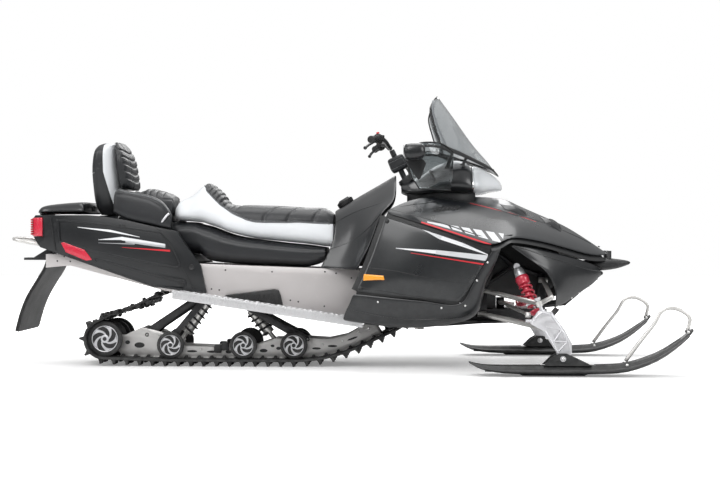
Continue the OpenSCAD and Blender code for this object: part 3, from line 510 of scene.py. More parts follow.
class ShaderGroups:
    """Shader node groups that several finishes share, each built once."""

    @classmethod
    def _start(cls, name: str, inputs: dict[str, tuple],
        outputs: Sequence[str]) -> tuple[Graph, bpy.types.Node, bpy.types.Node]:
        """A new group with its sockets.

        Args:
            name: the group's name.
            inputs: socket type and default by name.
            outputs: names of its values.

        Returns:
            The graph, the input node and the output node.
        """
        tree = bpy.data.node_groups.new(name, "ShaderNodeTree")
        for key, (kind, default) in inputs.items():
            socket = tree.interface.new_socket(key, in_out="INPUT", socket_type=kind)
            if default is not None:
                socket.default_value = default
        for key in outputs:
            tree.interface.new_socket(key, in_out="OUTPUT", socket_type="NodeSocketFloat")
        graph = Graph(tree)
        return graph, graph.node("NodeGroupInput"), graph.node("NodeGroupOutput")

    @classmethod
    @cache
    def moulded_grain(cls) -> bpy.types.NodeTree:
        """Fine pitted grain of moulded plastic, with slow mottling."""
        g, i, o = cls._start("moulded_grain", {"Vector": ("NodeSocketVector", None),
                "Grain": ("NodeSocketFloat", 900.0)}, ("Height", "Mottle"))
        fine = g.node("ShaderNodeTexNoise", {"Vector": i.outputs[0], "Scale": i.outputs[1], "Detail": 2.0})
        slow = g.node("ShaderNodeTexNoise", {"Vector": i.outputs[0], "Scale": 7.0, "Detail": 4.0})
        g.tree.links.new(fine.outputs[0], o.inputs[0])
        g.tree.links.new(slow.outputs[0], o.inputs[1])
        return g.tree

    @classmethod
    @cache
    def vinyl_grain(cls) -> bpy.types.NodeTree:
        """Pebbled grain of seat vinyl with fine creases."""
        g, i, o = cls._start("vinyl_grain", {"Vector": ("NodeSocketVector", None),
                "Grain": ("NodeSocketFloat", 420.0)}, ("Height", "Mottle"))
        cells = g.node("ShaderNodeTexVoronoi", {"Vector": i.outputs[0], "Scale": i.outputs[1]},
            feature="SMOOTH_F1")
        slow = g.node("ShaderNodeTexNoise", {"Vector": i.outputs[0], "Scale": 9.0, "Detail": 5.0})
        crease = g.node("ShaderNodeTexNoise", {"Vector": i.outputs[0], "Scale": 38.0, "Detail": 3.0,
                "Distortion": 1.2})
        total = g.math("ADD", g.math("MULTIPLY", cells.outputs[0], 0.7),
            g.math("MULTIPLY", crease.outputs[0], 0.8))
        g.tree.links.new(total, o.inputs[0])
        g.tree.links.new(slow.outputs[0], o.inputs[1])
        return g.tree

    @classmethod
    @cache
    def handling_wear(cls) -> bpy.types.NodeTree:
        """Sparse hairline scuffs."""
        g, i, o = cls._start("handling_wear", {"Vector": ("NodeSocketVector", None),
                "Amount": ("NodeSocketFloat", 0.3)}, ("Mask",))
        turned_by = g.node("ShaderNodeMapping", {0: i.outputs[0], 2: (0.4, 0.2, 0.9), 3: (18.0, 240.0, 60.0)})
        lines = g.node("ShaderNodeTexNoise", {"Vector": turned_by.outputs[0], "Scale": 1.0, "Detail": 3.0})
        where = g.node("ShaderNodeTexNoise", {"Vector": i.outputs[0], "Scale": 5.0, "Detail": 2.0})
        hair = g.math("MULTIPLY", g.math("SUBTRACT", lines.outputs[0], 0.62), 9.0, clamp=True)
        patch = g.math("MULTIPLY", g.math("SUBTRACT", where.outputs[0], 0.45), 5.0, clamp=True)
        g.tree.links.new(g.math("MULTIPLY", g.math("MULTIPLY", hair, patch), i.outputs[1]), o.inputs[0])
        return g.tree

    @classmethod
    @cache
    def low_dust(cls) -> bpy.types.NodeTree:
        """Dried spray that is thickest near the ground."""
        g, i, o = cls._start("low_dust", {"Vector": ("NodeSocketVector", None),
                "Top": ("NodeSocketFloat", 0.6), "Amount": ("NodeSocketFloat", 0.2)}, ("Mask",))
        z = g.node("ShaderNodeSeparateXYZ", {0: i.outputs[0]}).outputs[2]
        height = g.math("SUBTRACT", 1.0, g.math("DIVIDE", z, i.outputs[1]), clamp=True)
        spots = g.node("ShaderNodeTexNoise", {"Vector": i.outputs[0], "Scale": 22.0, "Detail": 8.0,
                "Roughness": 0.7})
        sharp = g.math("MULTIPLY", g.math("SUBTRACT", spots.outputs[0], 0.38), 2.4, clamp=True)
        g.tree.links.new(g.math("MULTIPLY", g.math("MULTIPLY", height, sharp), i.outputs[2]), o.inputs[0])
        return g.tree

    @classmethod
    @cache
    def brushed(cls) -> bpy.types.NodeTree:
        """Long fine lines of drawn or rolled metal along X."""
        g, i, o = cls._start("brushed", {"Vector": ("NodeSocketVector", None)}, ("Height", "Mottle"))
        stretched = g.node("ShaderNodeMapping", {0: i.outputs[0], 3: (6.0, 700.0, 700.0)})
        lines = g.node("ShaderNodeTexNoise", {"Vector": stretched.outputs[0], "Scale": 1.0, "Detail": 3.0})
        slow = g.node("ShaderNodeTexNoise", {"Vector": i.outputs[0], "Scale": 11.0, "Detail": 5.0})
        g.tree.links.new(lines.outputs[0], o.inputs[0])
        g.tree.links.new(slow.outputs[0], o.inputs[1])
        return g.tree

    @classmethod
    @cache
    def stripe(cls) -> bpy.types.NodeTree:
        """A straight tapered stripe laid on from the side."""
        g, i, o = cls._start("stripe", {"Vector": ("NodeSocketVector", None),
                "Start": ("NodeSocketVector", (0, 0, 0)), "Direction": ("NodeSocketVector", (1, 0, 0)),
                "Length": ("NodeSocketFloat", 0.1), "Start Width": ("NodeSocketFloat", 0.01),
                "End Width": ("NodeSocketFloat", 0.01)}, ("Mask",))
        vec, start, direction, length, wide_a, wide_b = i.outputs[:6]
        rel = g.vector("SUBTRACT", vec, start).outputs[0]
        along = g.vector("DOT_PRODUCT", rel, direction).outputs["Value"]
        side = g.vector("CROSS_PRODUCT", direction, (0.0, 1.0, 0.0)).outputs[0]
        across = g.math("ABSOLUTE", g.vector("DOT_PRODUCT", rel, side).outputs["Value"])
        t = g.math("DIVIDE", along, length)
        width = g.math("ADD", wide_a, g.math("MULTIPLY", g.math("SUBTRACT", wide_b, wide_a), t))
        inside = g.math("MULTIPLY", g.math("SUBTRACT", width, across), 1600.0, clamp=True)
        begins = g.math("MULTIPLY", along, 1600.0, clamp=True)
        ends = g.math("MULTIPLY", g.math("SUBTRACT", length, along), 1600.0, clamp=True)
        g.tree.links.new(g.math("MULTIPLY", g.math("MULTIPLY", inside, begins), ends), o.inputs[0])
        return g.tree


# ---------------------------------------------------------------- finishes


@dataclass(frozen=True)
class Stripe:
    """A tapered decal stripe, with ends in x and z and half widths, in millimetres."""

    start: tuple[float, float]
    end: tuple[float, float]
    width: tuple[float, float]
    colour: tuple[float, float, float]
    strength: float = 1.0


@dataclass(frozen=True)
class Finish:
    """An opaque finish: colour, gloss, grain, scuffs and dried spray."""

    name: str
    slot: str
    colour: tuple[float, float, float]
    roughness: float = 0.45
    metallic: float = 0.0
    coat: float = 0.0
    grain: float = 900.0
    depth: float = 0.05
    mottle: float = 0.12
    scuffs: float = 0.25
    dust: float = 0.12
    dust_top: float = 0.7
    relief: str = "moulded_grain"
    stripes: tuple[Stripe, ...] = ()

    def material(self) -> bpy.types.Material:
        """The finish as a material, made once."""
        made = bpy.data.materials.get(self.name)
        if made:
            return made
        made = bpy.data.materials.new(self.name)
        made.use_nodes = True
        self.build(Graph(made.node_tree))
        return made

    def base_colour(self, g: Graph, vector: object, mottle: object) -> object:
        """The colour before scuffs and spray."""
        light = tuple(min(1.0, c * (1 + 1.6 * self.mottle) + 0.001) for c in self.colour) + (1.0,)
        dark = tuple(c * (1 - self.mottle) for c in self.colour) + (1.0,)
        colour = g.mix(mottle, dark, light)
        for s in self.stripes:
            colour = g.mix(self.stripe_mask(g, vector, s), colour, tuple(s.colour) + (1.0,))
        return colour

    @staticmethod
    def stripe_mask(g: Graph, vector: object, s: Stripe) -> object:
        """Where a stripe lies, from 0 to 1."""
        d = np.array([s.end[0] - s.start[0], 0, s.end[1] - s.start[1]]) * MM
        length = float(np.linalg.norm(d))
        n = g.node("ShaderNodeGroup", node_tree=ShaderGroups.stripe())
        g.tree.links.new(vector, n.inputs["Vector"])
        n.inputs["Start"].default_value = (s.start[0] * MM, 0, s.start[1] * MM)
        n.inputs["Direction"].default_value = tuple(d / length)
        n.inputs["Length"].default_value = length
        n.inputs["Start Width"].default_value = s.width[0] * MM
        n.inputs["End Width"].default_value = s.width[1] * MM
        return g.math("MULTIPLY", n.outputs[0], s.strength)

    def build(self, g: Graph) -> None:
        """Builds the nodes into a material."""
        shader = g.tree.nodes["Principled BSDF"]
        vector = g.node("ShaderNodeTexCoord").outputs["Object"]
        grain = g.node("ShaderNodeGroup", node_tree=getattr(ShaderGroups, self.relief)())
        g.tree.links.new(vector, grain.inputs["Vector"])
        if "Grain" in grain.inputs:
            grain.inputs["Grain"].default_value = self.grain
        height, mottle = grain.outputs["Height"], grain.outputs["Mottle"]
        wear = g.node("ShaderNodeGroup", node_tree=ShaderGroups.handling_wear())
        g.tree.links.new(vector, wear.inputs["Vector"])
        wear.inputs["Amount"].default_value = self.scuffs
        dust = g.node("ShaderNodeGroup", node_tree=ShaderGroups.low_dust())
        g.tree.links.new(vector, dust.inputs["Vector"])
        dust.inputs["Top"].default_value = self.dust_top
        dust.inputs["Amount"].default_value = self.dust
        colour = self.base_colour(g, vector, mottle)
        scuffed = tuple(min(1.0, c * 1.4 + 0.022) for c in self.colour) + (1.0,)
        colour = g.mix(wear.outputs[0], colour, scuffed)
        colour = g.mix(dust.outputs[0], colour, (0.52, 0.52, 0.51, 1.0))
        rough = g.scaled(mottle, max(0.02, self.roughness * 0.82), min(1.0, self.roughness * 1.2))
        rough = g.math("ADD", rough, g.math("MULTIPLY", wear.outputs[0], 0.25))
        rough = g.math("ADD", rough, g.math("MULTIPLY", dust.outputs[0], 0.4), clamp=True)
        bump = g.node("ShaderNodeBump", {"Height": height, "Strength": min(1.0, self.depth * 4),
                "Distance": self.depth * MM * 4})
        g.tree.links.new(colour, shader.inputs["Base Color"])
        g.tree.links.new(rough, shader.inputs["Roughness"])
        g.tree.links.new(bump.outputs[0], shader.inputs["Normal"])
        shader.inputs["Metallic"].default_value = self.metallic
        shader.inputs["Coat Weight"].default_value = self.coat
        shader.inputs["Coat Roughness"].default_value = 0.12


@dataclass(frozen=True)
class ClearFinish(Finish):
    """A see-through plastic, tinted by its colour."""

    ior: float = 1.46

    def build(self, g: Graph) -> None:
        """Builds the nodes into a material."""
        shader = g.tree.nodes["Principled BSDF"]
        vector = g.node("ShaderNodeTexCoord").outputs["Object"]
        wear = g.node("ShaderNodeGroup", node_tree=ShaderGroups.handling_wear())
        g.tree.links.new(vector, wear.inputs["Vector"])
        wear.inputs["Amount"].default_value = self.scuffs
        slow = g.node("ShaderNodeTexNoise", {"Vector": vector, "Scale": 12.0, "Detail": 3.0}).outputs[0]
        rough = g.math("ADD", g.scaled(slow, self.roughness * 0.7, self.roughness * 1.4),
            g.math("MULTIPLY", wear.outputs[0], 0.3))
        colour = g.mix(slow, tuple(c * 0.97 for c in self.colour) + (1.0,), tuple(self.colour) + (1.0,))
        g.tree.links.new(colour, shader.inputs["Base Color"])
        g.tree.links.new(rough, shader.inputs["Roughness"])
        shader.inputs["Transmission Weight"].default_value = 1.0
        shader.inputs["IOR"].default_value = self.ior


@dataclass(frozen=True)
class SeatFinish(Finish):
    """Two-colour seat vinyl; the piece's attribute tells how far a point is inside the top panel."""

    top_colour: tuple[float, float, float] = (0.011, 0.012, 0.014)
    attribute: str = "panel"

    def base_colour(self, g: Graph, vector: object, mottle: object) -> object:
        """White sides with a black top panel."""
        side = super().base_colour(g, vector, mottle)
        top = g.mix(mottle, tuple(c * 0.8 for c in self.top_colour) + (1.0,),
            tuple(c * 1.35 for c in self.top_colour) + (1.0,))
        inside = g.node("ShaderNodeAttribute", attribute_name=self.attribute).outputs["Fac"]
        return g.mix(g.math("MULTIPLY", inside, 1500.0, clamp=True), side, top)


SILVER = (0.62, 0.63, 0.65)
PALE = (0.8, 0.81, 0.83)
RED = (0.62, 0.02, 0.03)
INK = (0.018, 0.019, 0.021)

BODY = Finish("black_bodywork", "black_plastic", (0.0085, 0.0095, 0.011), 0.3, coat=0.25, depth=0.02,
    dust=0.05)
TRIM = Finish("black_trim", "black_plastic", (0.0085, 0.009, 0.01), 0.46, depth=0.08, dust=0.06)
SKI = Finish("ski_plastic", "black_plastic", (0.008, 0.0085, 0.009), 0.38, depth=0.05, dust=0.1, scuffs=0.5)
GREY = Finish("grey_plastic", "dark_plastic", (0.16, 0.17, 0.18), 0.5, depth=0.08)
TUNNEL = Finish("tunnel_aluminium", "aluminium", (0.56, 0.535, 0.53), 0.46, metallic=0.55, depth=0.02,
    relief="brushed", dust=0.12, mottle=0.05)
BOARD = Finish("board_aluminium", "aluminium", (0.62, 0.62, 0.63), 0.38, metallic=0.6, relief="brushed",
    depth=0.03, dust=0.05, mottle=0.04)
CAST = Finish("cast_aluminium", "aluminium", (0.66, 0.66, 0.68), 0.38, metallic=0.75, depth=0.12, grain=520,
    mottle=0.1, dust=0.06)
TUBE = Finish("silver_tube", "aluminium", (0.66, 0.65, 0.63), 0.32, metallic=0.7, relief="brushed",
    depth=0.02, dust=0.04)
RAIL = Finish("rail_aluminium", "aluminium", (0.6, 0.59, 0.58), 0.4, metallic=0.6, relief="brushed",
    depth=0.03, dust=0.2)
CHROME = Finish("bright_chrome", "aluminium", (0.86, 0.87, 0.88), 0.08, metallic=1.0, depth=0.0,
    mottle=0.03, scuffs=0.05, dust=0.0)
STEEL = Finish("black_steel", "black_metal", (0.024, 0.024, 0.026), 0.42, metallic=0.25, depth=0.1,
    grain=600, dust=0.1)
ZINC = Finish("zinc_bolts", "aluminium", (0.7, 0.7, 0.69), 0.28, metallic=0.9, depth=0.02, dust=0.0)
SPRING = Finish("red_spring", "red_metal", (0.52, 0.03, 0.06), 0.3, metallic=0.1, coat=0.5, depth=0.02,
    dust=0.04, scuffs=0.15)
RUBBER = Finish("track_rubber", "rubber", (0.009, 0.009, 0.0095), 0.7, depth=0.25, grain=300, dust=0.16,
    scuffs=0.3)
TYRE = Finish("wheel_rubber", "rubber", (0.01, 0.01, 0.0105), 0.6, depth=0.12, grain=420, dust=0.12)
FLAP = Finish("flap_rubber", "rubber", (0.009, 0.009, 0.0095), 0.55, depth=0.12, grain=380, dust=0.1)
SEAT = SeatFinish("seat_vinyl", "white_vinyl", (0.72, 0.74, 0.76), 0.42, depth=0.1, relief="vinyl_grain",
    mottle=0.05, scuffs=0.08, dust=0.0)
VINYL = Finish("black_vinyl_cover", "black_vinyl", (0.011, 0.012, 0.014), 0.4, depth=0.12,
    relief="vinyl_grain", mottle=0.15, scuffs=0.1, dust=0.0)
PIPING = Finish("grey_piping", "black_vinyl", (0.1, 0.105, 0.11), 0.45, depth=0.05, relief="vinyl_grain",
    scuffs=0.0, dust=0.0)
THREAD = Finish("grey_thread", "black_vinyl", (0.3, 0.31, 0.32), 0.7, depth=0.05, scuffs=0.0, dust=0.0)
SMOKE = ClearFinish("smoke_screen", "smoke_plastic", (0.6, 0.62, 0.63), 0.03, scuffs=0.1)
SMOKE_DARK = ClearFinish("smoke_deflector", "smoke_plastic", (0.42, 0.45, 0.46), 0.05, scuffs=0.1)
LENS = ClearFinish("clear_lens", "clear_lens", (0.93, 0.95, 0.96), 0.02, scuffs=0.05)
RED_LENS = ClearFinish("red_lens", "red_lens", (0.42, 0.003, 0.007), 0.06, scuffs=0.05)
REFLEX = Finish("red_reflector", "red_lens", (0.58, 0.018, 0.045), 0.18, coat=0.6, depth=0.3, grain=260,
    dust=0.0)
AMBER = Finish("amber_reflector", "clear_lens", (0.9, 0.34, 0.02), 0.2, coat=0.6, depth=0.3, grain=260,
    dust=0.0)
BUTTON = Finish("red_button", "red_lens", (0.6, 0.02, 0.03), 0.3, depth=0.02, dust=0.0)

HOOD = Finish("hood_bodywork", "black_plastic", (0.0105, 0.012, 0.014), 0.28, coat=0.3, depth=0.02, dust=0.0,
    stripes=(
        Stripe((428, 712), (786, 634), (3, 23), SILVER),
        Stripe((520, 712), (556, 660), (4, 4), INK),
        Stripe((572, 704), (612, 648), (5, 5), INK),
        Stripe((626, 696), (670, 634), (6, 6), INK),
        Stripe((682, 690), (730, 622), (7, 7), INK),
        Stripe((740, 684), (790, 610), (8, 8), INK),
        Stripe((400, 711), (744, 599), (4, 4), RED),
        Stripe((640, 806), (830, 759), (1.6, 2.4), RED),
        Stripe((830, 759), (960, 715), (2.4, 1.2), RED),
    ))
PANEL = Finish("side_panel_bodywork", "dark_plastic", (0.0095, 0.011, 0.0125), 0.29, coat=0.3, depth=0.02,
    dust=0.05, stripes=(
        Stripe((256, 739), (400, 690), (1.5, 9), SILVER),
        Stripe((396, 692), (500, 640), (9, 16), SILVER),
        Stripe((496, 642), (716, 556), (15, 2), PALE),
        Stripe((480, 622), (690, 560), (10, 3), INK),
        Stripe((280, 588), (470, 570), (1.5, 9), PALE),
        Stripe((468, 570), (712, 541), (10, 14), SILVER),
        Stripe((350, 566), (694, 512), (1.5, 4), RED),
        Stripe((300, 712), (700, 590), (1.5, 1.5), SILVER, 0.5),
    ))
TAIL = Finish("tail_bodywork", "black_plastic", (0.0085, 0.0095, 0.011), 0.34, coat=0.15, depth=0.03,
    dust=0.0,
    stripes=(
        Stripe((-1283, 689), (-1120, 670), (1.2, 6), PALE),
        Stripe((-1124, 671), (-975, 640), (6, 1.2), PALE),
        Stripe((-1180, 627), (-1060, 634), (1.2, 8), PALE),
        Stripe((-1064, 633), (-852, 602), (9, 5), PALE),
        Stripe((-1046, 620), (-850, 596), (6, 9), SILVER, 0.7),
        Stripe((-1180, 612), (-1000, 606), (1, 3), SILVER, 0.6),
        Stripe((-1063, 590), (-827, 573), (1, 5), RED),
    ))
BACK = Finish("backrest_bodywork", "white_vinyl", (0.66, 0.68, 0.7), 0.4, depth=0.1, relief="vinyl_grain",
    mottle=0.06, scuffs=0.05, dust=0.0, stripes=(
        Stripe((-1222, 1200), (-1222, 960), (44, 46), INK),
        Stripe((-1222, 960), (-1182, 740), (46, 62), INK),
    ))


# ---------------------------------------------------------------- geometry node trees


class Repeats:
    """Geometry node trees that repeat a small shape, and coil a wire."""

    _rows: bpy.types.NodeTree | None = None
    _coil: bpy.types.NodeTree | None = None

    @classmethod
    def rows_tree(cls) -> bpy.types.NodeTree:
        """Tree that puts a template on every point, turned by the point's attributes."""
        if cls._rows:
            return cls._rows
        tree = bpy.data.node_groups.new("repeat_on_points", "GeometryNodeTree")
        for key, kind in (("Geometry", "NodeSocketGeometry"), ("Template", "NodeSocketObject"),
            ("Size", "NodeSocketFloat"), ("Size Spread", "NodeSocketFloat"), ("Seed", "NodeSocketInt"),
            ("Finish", "NodeSocketMaterial")):
            tree.interface.new_socket(key, in_out="INPUT", socket_type=kind)
        tree.interface.new_socket("Geometry", in_out="OUTPUT", socket_type="NodeSocketGeometry")
        g = Graph(tree)
        i, o = g.node("NodeGroupInput"), g.node("NodeGroupOutput")
        facing = g.node("GeometryNodeInputNamedAttribute", {"Name": "facing"}, data_type="FLOAT_VECTOR")
        along = g.node("GeometryNodeInputNamedAttribute", {"Name": "along"}, data_type="FLOAT_VECTOR")
        up = g.node("FunctionNodeAlignRotationToVector", {"Vector": facing.outputs[0]}, axis="Z")
        turn = g.node("FunctionNodeAlignRotationToVector", {"Rotation": up.outputs[0],
                "Vector": along.outputs[0]}, axis="X", pivot_axis="Z")
        spread = i.outputs["Size Spread"]
        rand = g.node("FunctionNodeRandomValue", {"Seed": i.outputs["Seed"]}, data_type="FLOAT")
        low = g.math("SUBTRACT", i.outputs["Size"], spread)
        high = g.math("ADD", i.outputs["Size"], spread)
        tree.links.new(low, rand.inputs[2])
        tree.links.new(high, rand.inputs[3])
        info = g.node("GeometryNodeObjectInfo", {"Object": i.outputs["Template"]})
        put = g.node("GeometryNodeInstanceOnPoints", {"Points": i.outputs["Geometry"],
                "Instance": info.outputs["Geometry"], "Rotation": turn.outputs[0], "Scale": rand.outputs[1]})
        real = g.node("GeometryNodeRealizeInstances", {"Geometry": put.outputs[0]})
        mat = g.node("GeometryNodeSetMaterial", {"Geometry": real.outputs[0],
                "Material": i.outputs["Finish"]})
        tree.links.new(mat.outputs[0], o.inputs[0])
        cls._rows = tree
        return tree

    @classmethod
    def coil_tree(cls) -> bpy.types.NodeTree:
        """Tree that coils a round wire up the Z axis, replacing what it is given."""
        if cls._coil:
            return cls._coil
        tree = bpy.data.node_groups.new("coiled_wire", "GeometryNodeTree")
        for key, kind in (("Geometry", "NodeSocketGeometry"), ("Turns", "NodeSocketFloat"),
            ("Start Radius", "NodeSocketFloat"), ("End Radius", "NodeSocketFloat"),
            ("Height", "NodeSocketFloat"), ("Wire Radius", "NodeSocketFloat"),
            ("Finish", "NodeSocketMaterial")):
            tree.interface.new_socket(key, in_out="INPUT", socket_type=kind)
        tree.interface.new_socket("Geometry", in_out="OUTPUT", socket_type="NodeSocketGeometry")
        g = Graph(tree)
        i, o = g.node("NodeGroupInput"), g.node("NodeGroupOutput")
        spiral = g.node("GeometryNodeCurveSpiral", {"Resolution": 28, "Rotations": i.outputs["Turns"],
                "Start Radius": i.outputs["Start Radius"], "End Radius": i.outputs["End Radius"],
                "Height": i.outputs["Height"]})
        wire = g.node("GeometryNodeCurvePrimitiveCircle", {"Resolution": 10,
                "Radius": i.outputs["Wire Radius"]})
        swept = g.node("GeometryNodeCurveToMesh", {"Curve": spiral.outputs[0],
                "Profile Curve": wire.outputs[0], "Fill Caps": True})
        smooth = g.node("GeometryNodeSetShadeSmooth", {"Geometry": swept.outputs[0]})
        mat = g.node("GeometryNodeSetMaterial", {"Geometry": smooth.outputs[0],
                "Material": i.outputs["Finish"]})
        tree.links.new(mat.outputs[0], o.inputs[0])
        cls._coil = tree
        return tree

    @staticmethod
    def apply(obj: Obj, tree: bpy.types.NodeTree, values: dict, finish: Finish) -> Obj:
        """Runs a tree on a piece with named inputs and keeps the plain mesh.

        Args:
            obj: the piece that holds the points.
            tree: the node tree.
            values: inputs by name.
            finish: what the result is made of.

        Returns:
            The piece.
        """
        mod = obj.modifiers.new("repeats", "NODES")
        mod.node_group = tree
        names = {s.name: s.identifier for s in tree.interface.items_tree if s.item_type == "SOCKET"
            and s.in_out == "INPUT"}
        for key, value in {**values, "Finish": finish.material()}.items():
            mod[names[key]] = value
        bake_modifiers(obj)
        obj.data.shade_smooth()
        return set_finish(soften(obj, 40), finish.slot)


@dataclass
class Template:
    """A small shape with X along, Y across and Z outwards, in millimetres."""

    verts: list
    faces: list

    @classmethod
    def dome(cls, radius: float, height: float, sides: int = 8) -> "Template":
        """A rivet or screw head."""
        rings = [(radius, 0.0), (radius * 0.93, height * 0.5), (radius * 0.55, height)]
        turns = [2 * math.pi * k / sides for k in range(sides)]
        verts = [(r * math.cos(a), r * math.sin(a), h) for r, h in rings for a in turns]
        faces = [(i * sides + j, i * sides + (j + 1) % sides, (i + 1) * sides + (j + 1) % sides,
                (i + 1) * sides + j) for i in range(2) for j in range(sides)]
        faces += [tuple(range(sides - 1, -1, -1)), tuple(range(2 * sides, 3 * sides))]
        return cls(verts, faces)

    @classmethod
    def prism(cls, outline: Sequence, y0: float, y1: float, taper: float = 0.0) -> "Template":
        """A bar across, with an outline in x and z; taper shortens its top at both ends."""
        n = len(outline)
        top = max(p[1] for p in outline) or 1.0
        verts = [(p[0], y0 + taper * max(0.0, p[1]) / top, p[1]) for p in outline]
        verts += [(p[0], y1 - taper * max(0.0, p[1]) / top, p[1]) for p in outline]
        faces = [tuple(range(n)), tuple(range(2 * n - 1, n - 1, -1))]
        faces += [(i, n + i, n + (i + 1) % n, (i + 1) % n) for i in range(n)]
        return cls(verts, faces)

    def plus(self, other: "Template") -> "Template":
        """Both shapes as one template."""
        n = len(self.verts)
        return Template(self.verts + other.verts, self.faces + [tuple(k + n for k in f) for f in other.faces])


def repeat(name: str, template: "Template | Obj", places: Sequence[tuple], finish: Finish, body: str,
    spread: float = 0.0, seed: int = 7) -> Obj:
    """Puts a template at every place.

    Args:
        name: the piece's name.
        template: the shape that is repeated.
        places: tuples of a point in millimetres, an outward direction and a direction along.
        finish: what it is made of.
        body: the body it rides on.
        spread: how much sizes vary.
        seed: seed of that variation.

    Returns:
        The piece.
    """
    shape = template
    if isinstance(template, Template):
        shape = fix_normals(new_piece("template", template.verts, template.faces, finish))
    mesh = bpy.data.meshes.new(name)
    mesh.from_pydata([tuple(float(c) * MM for c in p[0]) for p in places], [], [])
    for key, column in (("facing", 1), ("along", 2)):
        values = mesh.attributes.new(key, "FLOAT_VECTOR", "POINT")
        values.data.foreach_set("vector", np.asarray([unit(np.asarray(p[column], float)) for p in places],
                np.float32).ravel())
    obj = bpy.data.objects.new(name, mesh)
    bpy.context.scene.collection.objects.link(obj)
    Repeats.apply(obj, Repeats.rows_tree(), {"Template": shape, "Size": 1.0, "Size Spread": spread,
            "Seed": seed}, finish)
    bpy.data.objects.remove(shape)
    ride(obj, body)
    return obj


def coil(name: str, low: Point, high: Point, radius: float, wire: float, turns: float, finish: Finish,
    body: str, end_radius: float | None = None) -> Obj:
    """A coil spring between two points, in millimetres."""
    a, b = np.asarray(low, float), np.asarray(high, float)
    mesh = bpy.data.meshes.new(name)
    mesh.from_pydata([(0, 0, 0)], [], [])
    obj = bpy.data.objects.new(name, mesh)
    bpy.context.scene.collection.objects.link(obj)
    Repeats.apply(obj, Repeats.coil_tree(), {"Turns": turns, "Start Radius": radius * MM,
            "End Radius": (end_radius or radius) * MM, "Height": float(np.linalg.norm(b - a)) * MM,
            "Wire Radius": wire * MM}, finish)
    turn = Vector(tuple(unit(b - a))).to_track_quat("Z", "Y").to_matrix().to_4x4()
    obj.data.transform(Matrix.Translation(Vector(tuple(a * MM))) @ turn)
    fix_normals(obj)
    ride(obj, body)
    return obj


# ---------------------------------------------------------------- track and skid


@dataclass
class TrackLoop:
    """The path of the track: circles that the belt runs round, anticlockwise from the rear idler."""

    ground: float = 36.0
    circles: tuple = ((-1170, 134, 88), (-842, 104, 68), (-228, 816, 780), (252, 262, 76), (-740, 375, 60))
    arc_steps: int = 12

    def corners(self) -> list[tuple[float, float, float]]:
        """Corner points with their outward direction in degrees."""
        w = self.circles
        n = len(w)

        def run(i: int) -> float:
            """Outward direction on the run after circle i."""
            a, b = w[i % n], w[(i + 1) % n]
            d = (b[0] - a[0], b[1] - a[1])
            return (math.degrees(math.atan2(d[1], d[0])) - 90
                + math.degrees(math.asin((a[2] - b[2]) / math.hypot(*d))))
        out = []
        for i in range(n):
            before, turn = run(i - 1 + n), (run(i) - run(i - 1 + n)) % 360
            for k in range(self.arc_steps + 1):
                a = before + turn * k / self.arc_steps
                out.append((w[i][0] + w[i][2] * math.cos(math.radians(a)),
                        w[i][1] + w[i][2] * math.sin(math.radians(a)), a))
        return out

    def places(self, count: int, lift: float, start: float = 0.5) -> list[tuple]:
        """Evenly spaced points on the loop, with outward and forward directions.

        Args:
            count: how many.
            lift: distance outside the belt's inner face.
            start: share of a step before the first.

        Returns:
            Tuples of point, outward direction and direction along.
        """
        c = self.corners()
        c.append(c[0])
        base = c[0][2]
        angle = [base + (360 if i == len(c) - 1 else (p[2] - base) % 360) for i, p in enumerate(c)]
        reach = [0.0]
        for a, b in zip(c, c[1:]):
            reach.append(reach[-1] + math.hypot(b[0] - a[0], b[1] - a[1]))
        out = []
        for k in range(count):
            s = (k + start) / count * reach[-1]
            x, z = np.interp(s, reach, [p[0] for p in c]), np.interp(s, reach, [p[1] for p in c])
            a = math.radians(float(np.interp(s, reach, angle)))
            normal = (math.cos(a), 0.0, math.sin(a))
            out.append(((x + lift * normal[0], 0.0, z + lift * normal[2]), normal,
                    (-math.sin(a), 0.0, math.cos(a))))
        return out


